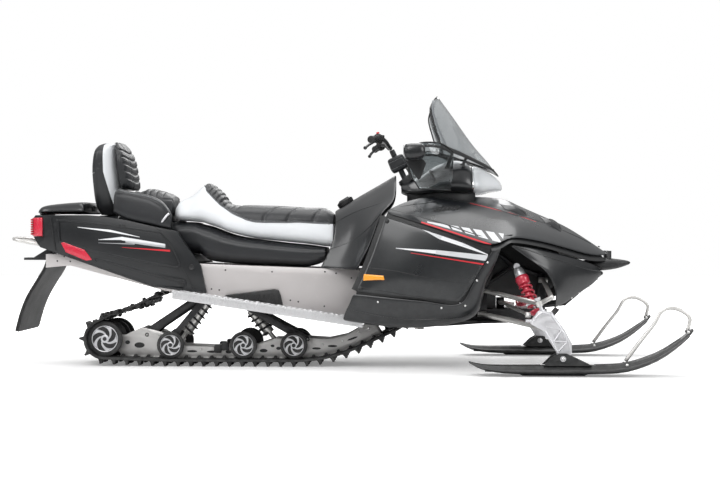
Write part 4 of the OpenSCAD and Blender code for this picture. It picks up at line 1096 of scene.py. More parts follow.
@dataclass
class Skid:
    """Track, slide rails, wheels, arms and shocks below the tunnel."""

    loop: TrackLoop = field(default_factory=TrackLoop)
    track_width: float = 381.0
    belt: float = 12.0
    lug: float = 24.0
    lugs: int = 54
    outer_y: float = 148.0
    inner_y: float = 48.0
    rail_y: float = 82.0
    bogies: tuple = ((-842, 104), (-479, 104), (-228, 104))

    def build(self) -> None:
        """Builds every piece of the skid."""
        self.track()
        self.wheels()
        self.rails()
        self.arms()

    def track(self) -> None:
        """The belt with rounded edges, its lugs, drive lugs and clips."""
        half, t = self.track_width / 2, self.belt
        section = [(-half + 2, 0.8), (-half + 60, 0.8), (half - 60, 0.8), (half - 2, 0.8), (half, 3),
            (half, t - 2), (half - 3, t), (40, t), (-40, t), (-half + 3, t), (-half, t - 2), (-half, 3)]
        places = self.loop.places(270, 0.0)
        verts, m, n = [], len(section), len(places)
        for p, normal, _ in places:
            verts += [(p[0] + h * normal[0], y, p[2] + h * normal[2]) for y, h in section]
        faces = [(i * m + j, i * m + (j + 1) % m, ((i + 1) % n) * m + (j + 1) % m, ((i + 1) % n) * m + j)
            for i in range(n) for j in range(m)]
        belt = soften(fix_normals(new_piece("track_belt", verts, faces, RUBBER)), 50)
        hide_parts("track")
        ride(belt, "chassis")
        h = self.lug
        tooth = [(-13, -1), (13, -1), (10.5, 3), (6, h * 0.55), (4.4, h - 0.6), (-4.4, h - 0.6),
            (-6, h * 0.55), (-10.5, 3)]
        wide = Template.prism(tooth, -188, -96, 7).plus(Template.prism(tooth, -42, 42, 7)).plus(
            Template.prism(tooth, 96, 188, 7))
        rib = [(-9, -1), (9, -1), (6.5, 3), (4, h * 0.5), (-4, h * 0.5), (-6.5, 3)]
        wide = wide.plus(Template.prism(rib, -100, -38)).plus(Template.prism(rib, 38, 100))
        narrow = Template.prism(tooth, -186, -128, 6).plus(Template.prism(tooth, -96, -18, 7)).plus(
            Template.prism(tooth, 18, 96, 7)).plus(Template.prism(tooth, 128, 186, 6)).plus(
            Template.prism(rib, -130, 130))
        spots = self.loop.places(self.lugs, self.belt)
        repeat("track_lugs_wide", wide, spots[::2], RUBBER, "chassis")
        repeat("track_lugs_narrow", narrow, spots[1::2], RUBBER, "chassis")
        drive = [(-10, 1), (10, 1), (5, -13), (-5, -13)]
        inner = Template.prism(drive, -124, -100).plus(Template.prism(drive, 100, 124))
        repeat("track_drive_lugs", inner, self.loop.places(self.lugs, 0.0, 0.0), RUBBER, "chassis")
        plate = [(-14, 1.2), (14, 1.2), (14, 0.1), (12, -0.5), (-12, -0.5), (-14, 0.1)]
        clips = Template.prism(plate, -95, -69).plus(Template.prism(plate, 69, 95))
        repeat("track_clips", clips, self.loop.places(self.lugs, 0.0), ZINC, "chassis")

    def wheel_shape(self, r: float, width: float) -> tuple[Obj, Obj, Obj]:
        """Tyre, dark dish and bright swirl of a wheel, facing up the Z axis.

        Args:
            r: the wheel's radius.
            width: its width.

        Returns:
            The three shapes, to be repeated.
        """
        h = width / 2
        tyre = turned("tyre", [(-h, r * 0.7), (-h, r * 0.93), (-h * 0.8, r * 0.985), (-h * 0.4, r - 0.3),
                (h * 0.4, r - 0.3), (h * 0.8, r * 0.985), (h, r * 0.93), (h, r * 0.78),
                (h * 0.72, r * 0.75), (h * 0.4, r * 0.74)], (0, 0, 0), (0, 0, 1), TYRE, 48)
        dish = turned("dish", [(-h + 1, 10), (-h + 1, r * 0.72), (h * 0.3, r * 0.745), (h * 0.42, r * 0.7),
                (h * 0.2, r * 0.4), (h * 0.5, r * 0.22), (h * 0.5, 10)], (0, 0, 0), (0, 0, 1), TRIM, 40)
        verts, faces = [], []
        steps = 12
        for blade in range(5):
            base = len(verts)
            for k in range(steps + 1):
                f = k / steps
                a = math.radians(72 * blade + 78 * f ** 0.8)
                radius = r * (0.2 + 0.5 * f)
                half = math.radians(14 - 4 * f + 10 * f ** 3)
                z = h * (0.62 - 0.1 * math.sin(math.pi * f))
                for turn, dz in ((-half, -2.5), (-half * 0.75, 0.8), (half * 0.75, 0.8), (half, -2.5)):
                    verts.append((radius * math.cos(a + turn), radius * math.sin(a + turn), z + dz))
            for k in range(steps):
                for j in range(3):
                    a0 = base + k * 4 + j
                    faces.append((a0, a0 + 1, a0 + 5, a0 + 4))
                a0 = base + k * 4
                faces.append((a0 + 4, a0 + 7, a0 + 3, a0))
            faces.append((base, base + 3, base + 2, base + 1))
            e = base + steps * 4
            faces.append((e, e + 1, e + 2, e + 3))
        swirl = soften(fix_normals(new_piece("swirl", verts, faces, CAST)), 40)
        ring = turned("ring", [(h * 0.35, r * 0.7), (h * 0.62, r * 0.7), (h * 0.7, r * 0.725),
                (h * 0.62, r * 0.75), (h * 0.35, r * 0.75)], (0, 0, 0), (0, 0, 1), CAST, 48)
        hub = turned("hub", [(h * 0.3, r * 0.23), (h * 0.66, r * 0.23), (h * 0.76, r * 0.2),
                (h * 0.78, r * 0.14), (h * 0.98, r * 0.13), (h * 0.98, 2)], (0, 0, 0), (0, 0, 1), CAST, 24)
        return tyre, dish, joined("swirl", [swirl, ring, hub])

    def wheels(self) -> None:
        """Every wheel of the skid with its axle, and the drive drums."""
        idler = self.loop.circles[0]
        rear = [(idler[0], s * y, idler[1]) for y in (self.inner_y, self.outer_y) for s in (1, -1)]
        low = [(x, s * self.outer_y, z) for x, z in self.bogies for s in (1, -1)]
        high = [(-740, s * 110, 375) for s in (1, -1)]
        groups = (("idler", 88.0, rear), ("bogie", 68.0, low), ("carrier", 60.0, high))
        for label, r, centres in groups:
            for key, shape, finish in zip(("tyre", "dish", "swirl"), self.wheel_shape(r, 24.0),
                (TYRE, TRIM, CAST)):
                places = [(c, (0, math.copysign(1, c[1]), 0), (1, 0, 0)) for c in centres]
                obj = repeat(f"{label}_wheel_{key}", shape, places, finish, "chassis")
                if key == "dish":
                    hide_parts(*{"idler": ["rear_idler_wheels"], "bogie": ["bogie_wheels"]}.get(label,
                            []))
            axles = sorted({(c[0], c[2]) for c in centres})
            reach = max(abs(c[1]) for c in centres) + 14
            shafts = [turned("axle", [(0, 6), (1.5, 10), (2 * reach - 1.5, 10), (2 * reach, 6)],
                    (x, -reach, z), (0, 1, 0), STEEL, 20) for x, z in axles]
            ride(joined(f"{label}_axles", shafts), "chassis")
        copy_of("drive_axle", "drive_drums", GREY, bevel=2.0)
        teeth = Template.prism([(-6, 0), (6, 0), (4, 7), (-4, 7)], -22, 22)
        places = []
        for s in (1, -1):
            for k in range(9):
                a = 2 * math.pi * k / 9
                n = (math.cos(a), 0.0, math.sin(a))
                places.append(((252 + 68 * n[0], s * 70.0, 262 + 68 * n[2]), n, (-n[2], 0.0, n[0])))
        repeat("drive_teeth", teeth, places, GREY, "chassis")

    def rails(self) -> None:
        """Slide rails with lightening slots, wear strips, bumpers and bolts."""
        copy_of("rails", "slide_rails", RAIL, bevel=1.6)
        strips = []
        line = [(-1100, self.loop.ground + 7.0)] + [(x, self.loop.ground + 5.5)
            for x in range(-840, -229, 61)]
        line += [(-228 + 774.5 * math.cos(math.radians(a)), self.loop.ground + 780 + 774.5
                * math.sin(math.radians(a))) for a in range(-88, -67, 4)]
        for s in (1, -1):
            strips.append(tube("strip", [(x, s * self.rail_y, z) for x, z in line], 10, TRIM, 8, 0.42))
        ride(joined("slide_strips", strips), "chassis")
        slots, bolts = [], []
        for x, z, w, h in ((-745, 68, 26, 6), (-640, 66, 30, 6), (-560, 66, 16, 9), (-385, 72, 20, 9),
            (-340, 96, 10, 7), (-310, 84, 12, 8), (-120, 84, 22, 6), (-40, 96, 24, 6), (60, 134, 26, 5),
            (-1010, 98, 26, 14), (-1070, 112, 12, 10)):
            for s in (1, -1):
                y = s * (self.rail_y + 6.2)
                loop = [(x + w * math.cos(a), y, z + h * math.sin(a) + (0.35 * w * math.cos(a) if x > 0
                        else 0)) for a in (2 * math.pi * k / 20 for k in range(20))]
                n = len(loop)
                verts = loop + [(p[0], p[1] - s * 1.0, p[2]) for p in loop]
                faces = [tuple(range(n)), tuple(range(2 * n - 1, n - 1, -1))] + [
                    (i, (i + 1) % n, n + (i + 1) % n, n + i) for i in range(n)]
                slots.append(fix_normals(new_piece("slot", verts, faces, TRIM)))
        ride(joined("rail_slots", slots), "chassis")
        for x, z in ((-1180, 134), (-1130, 118), (-972, 150), (-905, 150), (-880, 128), (-700, 78),
            (-600, 78), (-420, 84), (-260, 118), (-165, 130), (-90, 104), (10, 122), (90, 168), (140, 186)):
            bolts += [((x, s * (self.rail_y + 6), z), (0, s, 0), (1, 0, 0)) for s in (1, -1)]
        repeat("rail_bolts", Template.dome(6.5, 5, 6), bolts, ZINC, "chassis")
        blocks = []
        for x, z in ((-612, 84), (-575, 96)):
            for s in (1, -1):
                y = s * (self.rail_y + 6)
                blocks.append(slab("block", [(x - 19, z - 22), (x + 17, z - 22), (x + 17, z + 16),
                        (x + 12, z + 20), (x - 14, z + 20), (x - 19, z + 14)], y, y + s * 26, TRIM, 2.0))
        ride(joined("rail_bumpers", blocks), "chassis")

    def arms(self) -> None:
        """Torque arms, shocks and torsion springs between the rails."""
        copy_of("torque_arms", "skid_arms", STEEL, bevel=1.0)
        copy_of("skid_shocks", "skid_dampers", TUBE, bevel=1.0)
        for name, low, top in (("rear", (-815, 116), (-640, 372)), ("front", (-330, 116), (-482, 300))):
            a, b = np.array([low[0], 0, low[1]], float), np.array([top[0], 0, top[1]], float)
            d = unit(b - a)
            coil(f"skid_spring_{name}", a + d * 56, b - d * 48, 34, 5.0, 6.5 if name == "rear" else 4.5,
                STEEL, "chassis")
        plates = []
        for s in (1, -1):
            y = s * 66
            plates.append(slab("strut", [(-1010, 150), (-985, 176), (-700, 366), (-655, 384), (-636, 360),
                    (-700, 338), (-955, 140)], y, y + s * 8, STEEL, 1.5))
            plates.append(slab("strut", [(-880, 120), (-858, 140), (-700, 330), (-640, 350), (-660, 322),
                    (-790, 180), (-836, 108)], s * 98, s * 98 + s * 8, STEEL, 1.5))
            plates.append(slab("strut", [(-190, 112), (-150, 118), (-160, 140), (-500, 318), (-516, 296)],
                    y, y + s * 8, STEEL, 1.5))
        ride(joined("skid_struts", plates), "chassis")
        for s, label in ((1, "left"), (-1, "right")):
            coil(f"torsion_spring_{label}", (-972, s * 22, 150), (-972, s * 56, 150), 26, 5.5, 2.6, STEEL,
                "chassis")


# ---------------------------------------------------------------- stage


@dataclass
class Stage:
    """Camera, lamps, pale floor and white surroundings."""

    eye: tuple = (0.350, -6.66, 0.645)
    tilt: float = 89.83
    turn: float = 2.2
    lens: float = 65.95

    def camera(self) -> None:
        """Places the camera."""
        data = bpy.data.cameras.new("camera")
        data.lens = self.lens
        data.sensor_width = 36.0
        data.clip_end = 200.0
        obj = bpy.data.objects.new("camera", data)
        obj.location = self.eye
        obj.rotation_euler = (math.radians(self.tilt), 0.0, math.radians(self.turn))
        bpy.context.scene.collection.objects.link(obj)
        bpy.context.scene.camera = obj

    def lamps(self) -> None:
        """Soft studio lamps round the vehicle."""
        for name, place, aim, size, power in (("key", (-1.2, -5.2, 4.6), (0, 0, 0.5), 3.6, 165),
            ("front", (5.0, -3.2, 2.8), (0.4, 0, 0.6), 2.6, 85),
            ("top", (0.2, 0.6, 5.6), (0, 0, 0.4), 4.5, 150),
            ("rear", (-4.8, -2.2, 3.2), (-0.6, 0, 0.6), 2.6, 75),
            ("back", (0.5, 5.5, 4.0), (0, 0, 0.5), 3.6, 120)):
            data = bpy.data.lights.new(name, "AREA")
            data.shape = "DISK"
            data.size = size
            data.energy = power
            obj = bpy.data.objects.new(name, data)
            obj.location = place
            obj.rotation_euler = (Vector(aim) - Vector(place)).to_track_quat("-Z", "Y").to_euler()
            bpy.context.scene.collection.objects.link(obj)

    def surroundings(self) -> None:
        """A floor that keeps the shadow, and a white world."""
        world = bpy.data.worlds.new("white_world")
        bpy.context.scene.world = world
        world.use_nodes = True
        g = Graph(world.node_tree)
        back = world.node_tree.nodes["Background"]
        rays = g.node("ShaderNodeLightPath")
        seen = g.math("MAXIMUM", rays.outputs["Is Camera Ray"], rays.outputs["Is Transmission Ray"])
        height = g.node("ShaderNodeSeparateXYZ", {"Vector": g.node("ShaderNodeTexCoord").outputs[
                "Generated"]})
        sky = g.math("MULTIPLY", g.math("SUBTRACT", height.outputs["Z"], 0.12), 1.3, clamp=True)
        mirrored = g.math("MULTIPLY", rays.outputs["Is Glossy Ray"], g.scaled(sky, -0.24, 0.58))
        plain = g.math("ADD", g.scaled(seen, 0.42, 1.0), mirrored)
        g.tree.links.new(plain, back.inputs["Strength"])
        back.inputs["Color"].default_value = (1, 1, 1, 1)
        floor = new_piece("floor", [(-14, -14, 0), (14, -14, 0), (14, 14, 0), (-14, 14, 0)], [(0, 1, 2, 3)],
            None, scale=1.0)
        mat = bpy.data.materials.new("pale_floor")
        mat.use_nodes = True
        g = Graph(mat.node_tree)
        shader = mat.node_tree.nodes["Principled BSDF"]
        noise = g.node("ShaderNodeTexNoise", {"Scale": 1.5, "Detail": 2.0})
        g.tree.links.new(g.mix(noise.outputs[0], (0.93, 0.93, 0.93, 1), (0.95, 0.95, 0.95, 1)),
            shader.inputs["Base Color"])
        shader.inputs["Roughness"].default_value = 0.9
        rays = g.node("ShaderNodeLightPath")
        place = g.node("ShaderNodeTexCoord").outputs["Object"]
        far = g.node("ShaderNodeVectorMath", {0: place}, operation="LENGTH").outputs["Value"]
        fade = g.math("ADD", g.math("MULTIPLY", g.math("SUBTRACT", far, 1.9), 0.6, clamp=True), 0.22)
        g.tree.links.new(g.math("MULTIPLY", rays.outputs["Is Camera Ray"], fade),
            shader.inputs["Emission Strength"])
        shader.inputs["Emission Color"].default_value = (1, 1, 1, 1)
        floor.data.materials.append(mat)
        floor.location.z = -0.0005
        floor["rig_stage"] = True
        bpy.context.scene.view_settings.view_transform = "Standard"


# ---------------------------------------------------------------- surface details

HOOD_NET = Net((
        ((560, 0, 842), (505, -150, 838), (420, -255, 836), (317, -320, 810), (222, -372, 762)),
        ((690, 0, 845), (660, -120, 825), (600, -236, 800), (540, -345, 745), (470, -432, 684)),
        ((817, 0, 832), (815, -110, 806), (800, -222, 764), (760, -345, 690), (712, -446, 604)),
        ((880, 0, 804), (880, -105, 786), (880, -212, 745), (855, -330, 700), (825, -430, 640)),
        ((985, 0, 756), (985, -95, 748), (990, -184, 716), (978, -290, 672), (968, -368, 622)),
        ((1118, 0, 696), (1118, -75, 692), (1120, -138, 668), (1105, -225, 634), (1093, -292, 590)),
        ((1240, 0, 620), (1238, -50, 620), (1236, -92, 612), (1230, -150, 586), (1222, -196, 556)),
        ((1327, 0, 562), (1324, -34, 562), (1322, -58, 560), (1318, -80, 556), (1312, -96, 552)),
    ))
PANEL_NET = Net((
        ((230, -378, 742), (196, -398, 640), (160, -408, 540), (122, -414, 450), (92, -418, 384)),
        ((360, -414, 698), (330, -428, 610), (300, -440, 520), (270, -444, 440), (250, -432, 366)),
        ((545, -440, 636), (505, -446, 560), (465, -450, 480), (430, -450, 410), (410, -436, 350)),
        ((724, -444, 577), (687, -444, 514), (648, -444, 450), (611, -444, 388), (580, -444, 334)),
    ))
BELLY_NET = Net((
        ((76, -414, 372), (60, -410, 330), (38, -400, 285), (26, -384, 250), (30, -350, 239)),
        ((250, -428, 354), (252, -426, 310), (258, -414, 262), (266, -386, 222), (272, -342, 206)),
        ((415, -434, 338), (425, -430, 300), (438, -418, 260), (450, -385, 228), (460, -318, 209)),
        ((582, -444, 322), (602, -440, 300), (628, -428, 282), (648, -405, 270), (662, -370, 262)),
        ((647, -444, 432), (664, -444, 425), (684, -436, 420), (700, -418, 415), (702, -385, 412)),
        ((701, -444, 522), (715, -444, 515), (733, -436, 510), (745, -418, 506), (746, -388, 504)),
        ((741, -444, 590), (755, -444, 594), (772, -438, 602), (784, -424, 608), (786, -396, 610)),
    ))
FAIRING_NET = Net((
        ((812, -424, 606), (905, -404, 540), (1000, -388, 472), (1042, -366, 370), (1034, -332, 300)),
        ((930, -384, 592), (990, -376, 520), (1050, -352, 450), (1082, -322, 375), (1085, -290, 318)),
        ((1070, -304, 560), (1105, -304, 508), (1130, -290, 450), (1150, -262, 400), (1160, -232, 362)),
        ((1200, -212, 524), (1215, -210, 490), (1228, -200, 460), (1238, -184, 430), (1244, -168, 412)),
        ((1284, -124, 488), (1286, -124, 480), (1288, -122, 472), (1290, -118, 464), (1291, -114, 458)),
    ))
SHIELD_NET = Net(tuple(tuple(mirrored_row(row)) for row in (
        ((486, 0, 1346), (484, -45, 1343), (480, -88, 1336), (472, -120, 1326), (462, -145, 1312)),
        ((565, 0, 1238), (555, -70, 1240), (525, -135, 1246), (484, -200, 1252), (446, -262, 1254)),
        ((662, 0, 1102), (642, -75, 1110), (592, -150, 1132), (528, -222, 1155), (466, -290, 1172)),
        ((739, 0, 1012), (712, -80, 1030), (644, -160, 1058), (565, -238, 1088), (486, -300, 1110)),
        ((785, 0, 950), (752, -80, 975), (672, -165, 1010), (585, -245, 1045), (500, -300, 1072)),)))
DEFLECTOR_NET = Net((
        ((352, -372, 1078), (338, -376, 1010), (350, -366, 940), (392, -346, 872)),
        ((420, -368, 1092), (410, -372, 1015), (415, -360, 940), (430, -330, 870)),
        ((500, -320, 1088), (495, -330, 1010), (495, -318, 940), (490, -285, 868)),
        ((560, -272, 1050), (558, -284, 990), (555, -275, 930), (545, -250, 866)),
    ))
CONSOLE_NET = Net((
        ((-30, 0, 770), (-28, -90, 762), (-22, -150, 720), (-30, -182, 640), (-58, -192, 560),
            (-96, -196, 489.5)),
        ((80, 0, 838), (82, -90, 826), (84, -160, 770), (70, -214, 670), (45, -240, 580), (10, -262, 488)),
        ((185, 0, 898), (186, -90, 884), (188, -190, 800), (150, -290, 690), (120, -318, 590),
            (90, -340, 484)),
        ((275, 0, 952), (276, -95, 930), (268, -230, 822), (206, -356, 752), (150, -386, 600),
            (86, -396, 486)),
    ))


class Places:
    """Finds the place on a net that lies at a given x and z, seen from the side."""

    _grids: dict[int, tuple] = {}

    @classmethod
    def find(cls, net: Net, x: float, z: float) -> tuple[float, float]:
        """Nearest u and v to x and z, in millimetres."""
        if id(net) not in cls._grids:
            spots = [(i / 40, j / 40) for i in range(41) for j in range(41)]
            cls._grids[id(net)] = (spots, np.array([net.at(u, v) for u, v in spots]))
        spots, points = cls._grids[id(net)]
        u, v = spots[int(np.argmin((points[:, 0] - x) ** 2 + (points[:, 2] - z) ** 2))]
        step = 1 / 40
        for _ in range(5):
            step /= 2
            around = [(min(1, max(0, u + a * step)), min(1, max(0, v + b * step))) for a in (-1, 0, 1)
                for b in (-1, 0, 1)]
            u, v = min(around, key=lambda q: (net.at(*q)[0] - x) ** 2 + (net.at(*q)[2] - z) ** 2)
        return u, v


def surface_line(name: str, net: Net, line: Sequence[tuple[float, float]], radius: float, finish: Finish,
    side: Side, lift: float = 0.0, flat: float = 0.5, steps: int = 24) -> Obj:
    """A bead along a line of x and z places on a net.

    Args:
        name: the piece's name.
        net: the surface.
        line: its places in x and z.
        radius: half its width.
        finish: what it is made of.
        side: which side of the vehicle.
        lift: height above the surface.
        flat: its height as a share of its width.
        steps: how many pieces the line has.

    Returns:
        The bead.
    """
    marks = [Places.find(net, *q) for q in line]
    walk = [smooth_at(marks, i / steps * (len(marks) - 1)) for i in range(steps + 1)]
    walk = [(min(1, max(0, u)), min(1, max(0, v))) for u, v in walk]
    points = on_side([tuple(net.lifted(u, v, lift)) for u, v in walk], side)
    normals = on_side([tuple(net.normal(u, v)) for u, v in walk], side)
    return tube(name, points, radius, finish, 8, flat, lambda i: np.asarray(normals[i]))


def surface_spot(net: Net, u: float, v: float, lift: float, side: Side) -> tuple[tuple, tuple, tuple]:
    """Place, normal and heading of a small fitting on a net."""
    place, normal = (on_side([tuple(p)], side)[0] for p in (net.lifted(u, v, lift), net.normal(u, v)))
    return place, normal, (1, 0, 0)


def surface_patch(name: str, net: Net, corners: Sequence[tuple[float, float]], height: float,
    finish: Finish, side: Side, swell: float = 0.0, sink: float = 2.0, nu: int = 12, nv: int = 6) -> Obj:
    """A plate that follows a net between four x and z corners.

    Args:
        name: the piece's name.
        net: the surface.
        corners: its corners in order round it.
        height: how far its face stands out.
        finish: what it is made of.
        side: which side of the vehicle.
        swell: extra height in the middle.
        sink: how far its back lies inside the surface.
        nu: cells along it.
        nv: cells across it.

    Returns:
        The plate.
    """
    q = [np.array(Places.find(net, *c)) for c in corners]
    top, base = [], []
    for i in range(nu + 1):
        for j in range(nv + 1):
            s, t = i / nu, j / nv
            u, v = (1 - s) * ((1 - t) * q[0] + t * q[3]) + s * ((1 - t) * q[1] + t * q[2])
            edge = min(1.0, 6 * min(s, 1 - s, t, 1 - t) + 0.25)
            rise = height * edge + swell * math.sin(math.pi * s) ** 0.8 * math.sin(math.pi * t)
            top.append(tuple(net.lifted(u, v, rise)))
            base.append(tuple(net.lifted(u, v, -sink)))
    m = nv + 1
    n = len(top)
    faces = []
    for i in range(nu):
        for j in range(nv):
            k = i * m + j
            faces += [(k, k + m, k + m + 1, k + 1), (n + k, n + k + 1, n + k + m + 1, n + k + m)]
    rim = [j for j in range(m)] + [i * m + nv for i in range(1, nu + 1)]
    rim += [nu * m + j for j in range(nv - 1, -1, -1)] + [i * m for i in range(nu - 1, 0, -1)]
    faces += [(a, b, n + b, n + a) for a, b in zip(rim, rim[1:] + rim[:1])]
    return soften(fix_normals(new_piece(name, on_side(top + base, side), faces, finish)), 60)


# ---------------------------------------------------------------- chassis and suspension


@dataclass
class Chassis:
    """Tunnel, running boards, front structure, engine and the pieces at the rear."""

    board_rear: tuple = (-800.0, 382.0)
    board_front: tuple = (120.0, 245.0)
    board_outer: float = 339.0

    def board_z(self, x: float) -> float:
        """Height of the running board at x."""
        a, b = self.board_rear, self.board_front
        return a[1] + (b[1] - a[1]) * (x - a[0]) / (b[0] - a[0])

    def build(self) -> None:
        """Builds every piece."""
        copy_of("tunnel", "tunnel_sheet", TUNNEL, bevel=1.2)
        copy_of("running_boards", "board_decks", BOARD, bevel=1.0)
        copy_of("front_frame", "front_structure", STEEL)
        copy_of("engine", "engine_block", CAST, bevel=9.0)
        self.rivets()
        self.board_teeth()
        self.heel_pads()
        self.engine_details()
        self.rear()

    def rivets(self) -> None:
        """Rivets and bolts on the tunnel's sides and roof."""
        spots = []
        for x, z in ((-629, 385), (-591, 380), (-420, 350), (-240, 330), (-201, 323), (-73, 301),
            (-15, 463), (-70, 470), (60, 440), (60, 300), (-330, 470), (-560, 478), (-1330, 520),
            (-1395, 522), (-1360, 545), (-1100, 500)):
            spots += [((x, s * 205.0, z), (0, s, 0), (1, 0, 0)) for s in (1, -1)]
        for k in range(15):
            x = -1420 + 26 * k if k < 8 else -1200 + 60 * (k - 8)
            spots += [((x, s * 190.0, 556.5 if x < -1250 else 556 - (x + 1250) * 0.09), (0, 0, 1),
                    (1, 0, 0)) for s in (1, -1)]
        repeat("tunnel_rivets", Template.dome(4.2, 2.2, 10), spots, STEEL, "chassis", 0.05)

    def board_teeth(self) -> None:
        """Ribs along the boards' edge rails, teeth on top of them and grip cups in the decks."""
        a, b = self.board_rear, self.board_front
        along = unit(np.array([b[0] - a[0], 0, b[1] - a[1]], float))
        up = np.array([-along[2], 0, along[0]])
        rib = Template.prism([(-3.2, -1), (3.2, -1), (2.0, 1.5), (-2.0, 1.5)], -17, 17, 2)
        ribs, teeth, cups = [], [], []
        for s in (1, -1):
            for k in range(72):
                x = a[0] + 10 + k * 12.6
                z = self.board_z(x)
                lean = unit(0.34 * along + 0.94 * up)
                across = unit(np.cross(lean, (0, s, 0)))
                ribs.append(((x, s * self.board_outer, z - 19), (0, s, 0), across))
                teeth.append(((x, s * (self.board_outer - 8), z + 1.5), tuple(up), tuple(along)))
            for k in range(17):
                for j, y in enumerate((232, 262, 292)):
                    x = a[0] + 40 + 52 * k + 26 * (j % 2)
                    cups.append(((x, s * y, self.board_z(x)), tuple(up), tuple(along)))
        repeat("board_rail_ribs", rib, ribs, BOARD, "chassis")
        tooth = Template.prism([(-5, -1), (5, -1), (4.4, 2.2), (0, 0.4), (-4.4, 2.2)], -7.5, 7.5)
        repeat("board_teeth", tooth, teeth, BOARD, "chassis")
        cup = turned("cup", [(-1, 13), (2.4, 11.5), (3.0, 10), (2.2, 8.6), (-0.6, 8), (-1, 0.5)], (0, 0, 0),
            (0, 0, 1), BOARD, 12)
        repeat("board_grip_cups", cup, cups, BOARD, "chassis")

    def heel_pads(self) -> None:
        """Rubber heel pads against the tunnel."""
        outline = [(-565, 349), (-553, 356), (-420, 372), (-318, 385), (-296, 380), (-286, 352), (-276, 306)]
        pads = [slab("pad", outline, s * 205.5, s * 223, FLAP, 4.0) for s in (1, -1)]
        ribs = [tube("rib", [(x, s * 223, self.board_z(x) + 6),
                (x + 10, s * 223, self.board_z(x) + 16 + 0.15 * (x + 540))], 3, FLAP, 8, 0.6)
            for s in (1, -1) for x in range(-520, -300, 24)]
        ride(joined("heel_pads", pads + ribs), "chassis")

    def engine_details(self) -> None:
        """Fins, covers and hoses on the engine block."""
        fin = Template.prism([(-2.2, -1), (2.2, -1), (1.2, 12), (-1.2, 12)], -180, 180, 3)
        spots = [((654, 0, 300 + 17 * k), (1, 0, 0), (0, 0, 1)) for k in range(16)]
        repeat("engine_fins", fin, spots, CAST, "chassis")
        covers = []
        for s in (1, -1):
            covers.append(turned("cover", [(0, 92), (14, 90), (20, 80), (22, 30), (30, 26), (30, 2)],
                    (520, s * 204, 410), (0, s, 0), STEEL, 36))
        ride(joined("engine_covers", covers), "chassis")
        hoses = [tube("hose", smooth_path([(655, s * 120, 560), (720, s * 150, 540), (742, s * 170, 470),
                (700, s * 168, 380), (662, s * 172, 330)], 20), 13, FLAP, 12) for s in (1, -1)]
        ride(joined("coolant_hoses", hoses), "chassis")

    def rear(self) -> None:
        """Snow flap, hitch, grab bar and tail lamps."""
        copy_of("snow_flap", "rubber_flap", FLAP, levels=1)
        line = [(-1440, 552), (-1458, 490), (-1500, 420), (-1548, 340), (-1580, 258), (-1602, 174)]
        ribs = []
        for y in (-188, -150, -60, 0, 60, 150, 188):
            path = [(x - 3.5, y, z) for x, z in (smooth_at(line, t / 20 * 5) for t in range(21))]
            ribs.append(tube("rib", path, 6 if abs(y) == 188 else 4, FLAP, 8, 0.9))
        ride(joined("flap_ribs", ribs), "chassis")
        copy_of("hitch", "hitch_plate", STEEL, bevel=1.5)
        copy_of("rear_bumper", "rear_grab_bar", TUBE)
        copy_of("tail_lights", "tail_lamps", REFLEX, bevel=3.0)
        cells = Template.dome(5.2, 2.4, 6)
        spots = []
        for s in (1, -1):
            for i in range(5):
                for j in range(7):
                    spots.append(((-1518.6, s * (196 + 10 * i), 656 + 11.5 * j), (-1, 0, 0), (0, 1, 0)))
        repeat("tail_lamp_cells", cells, [q for q in spots if abs(q[0][1]) < 232], RED_LENS, "chassis")


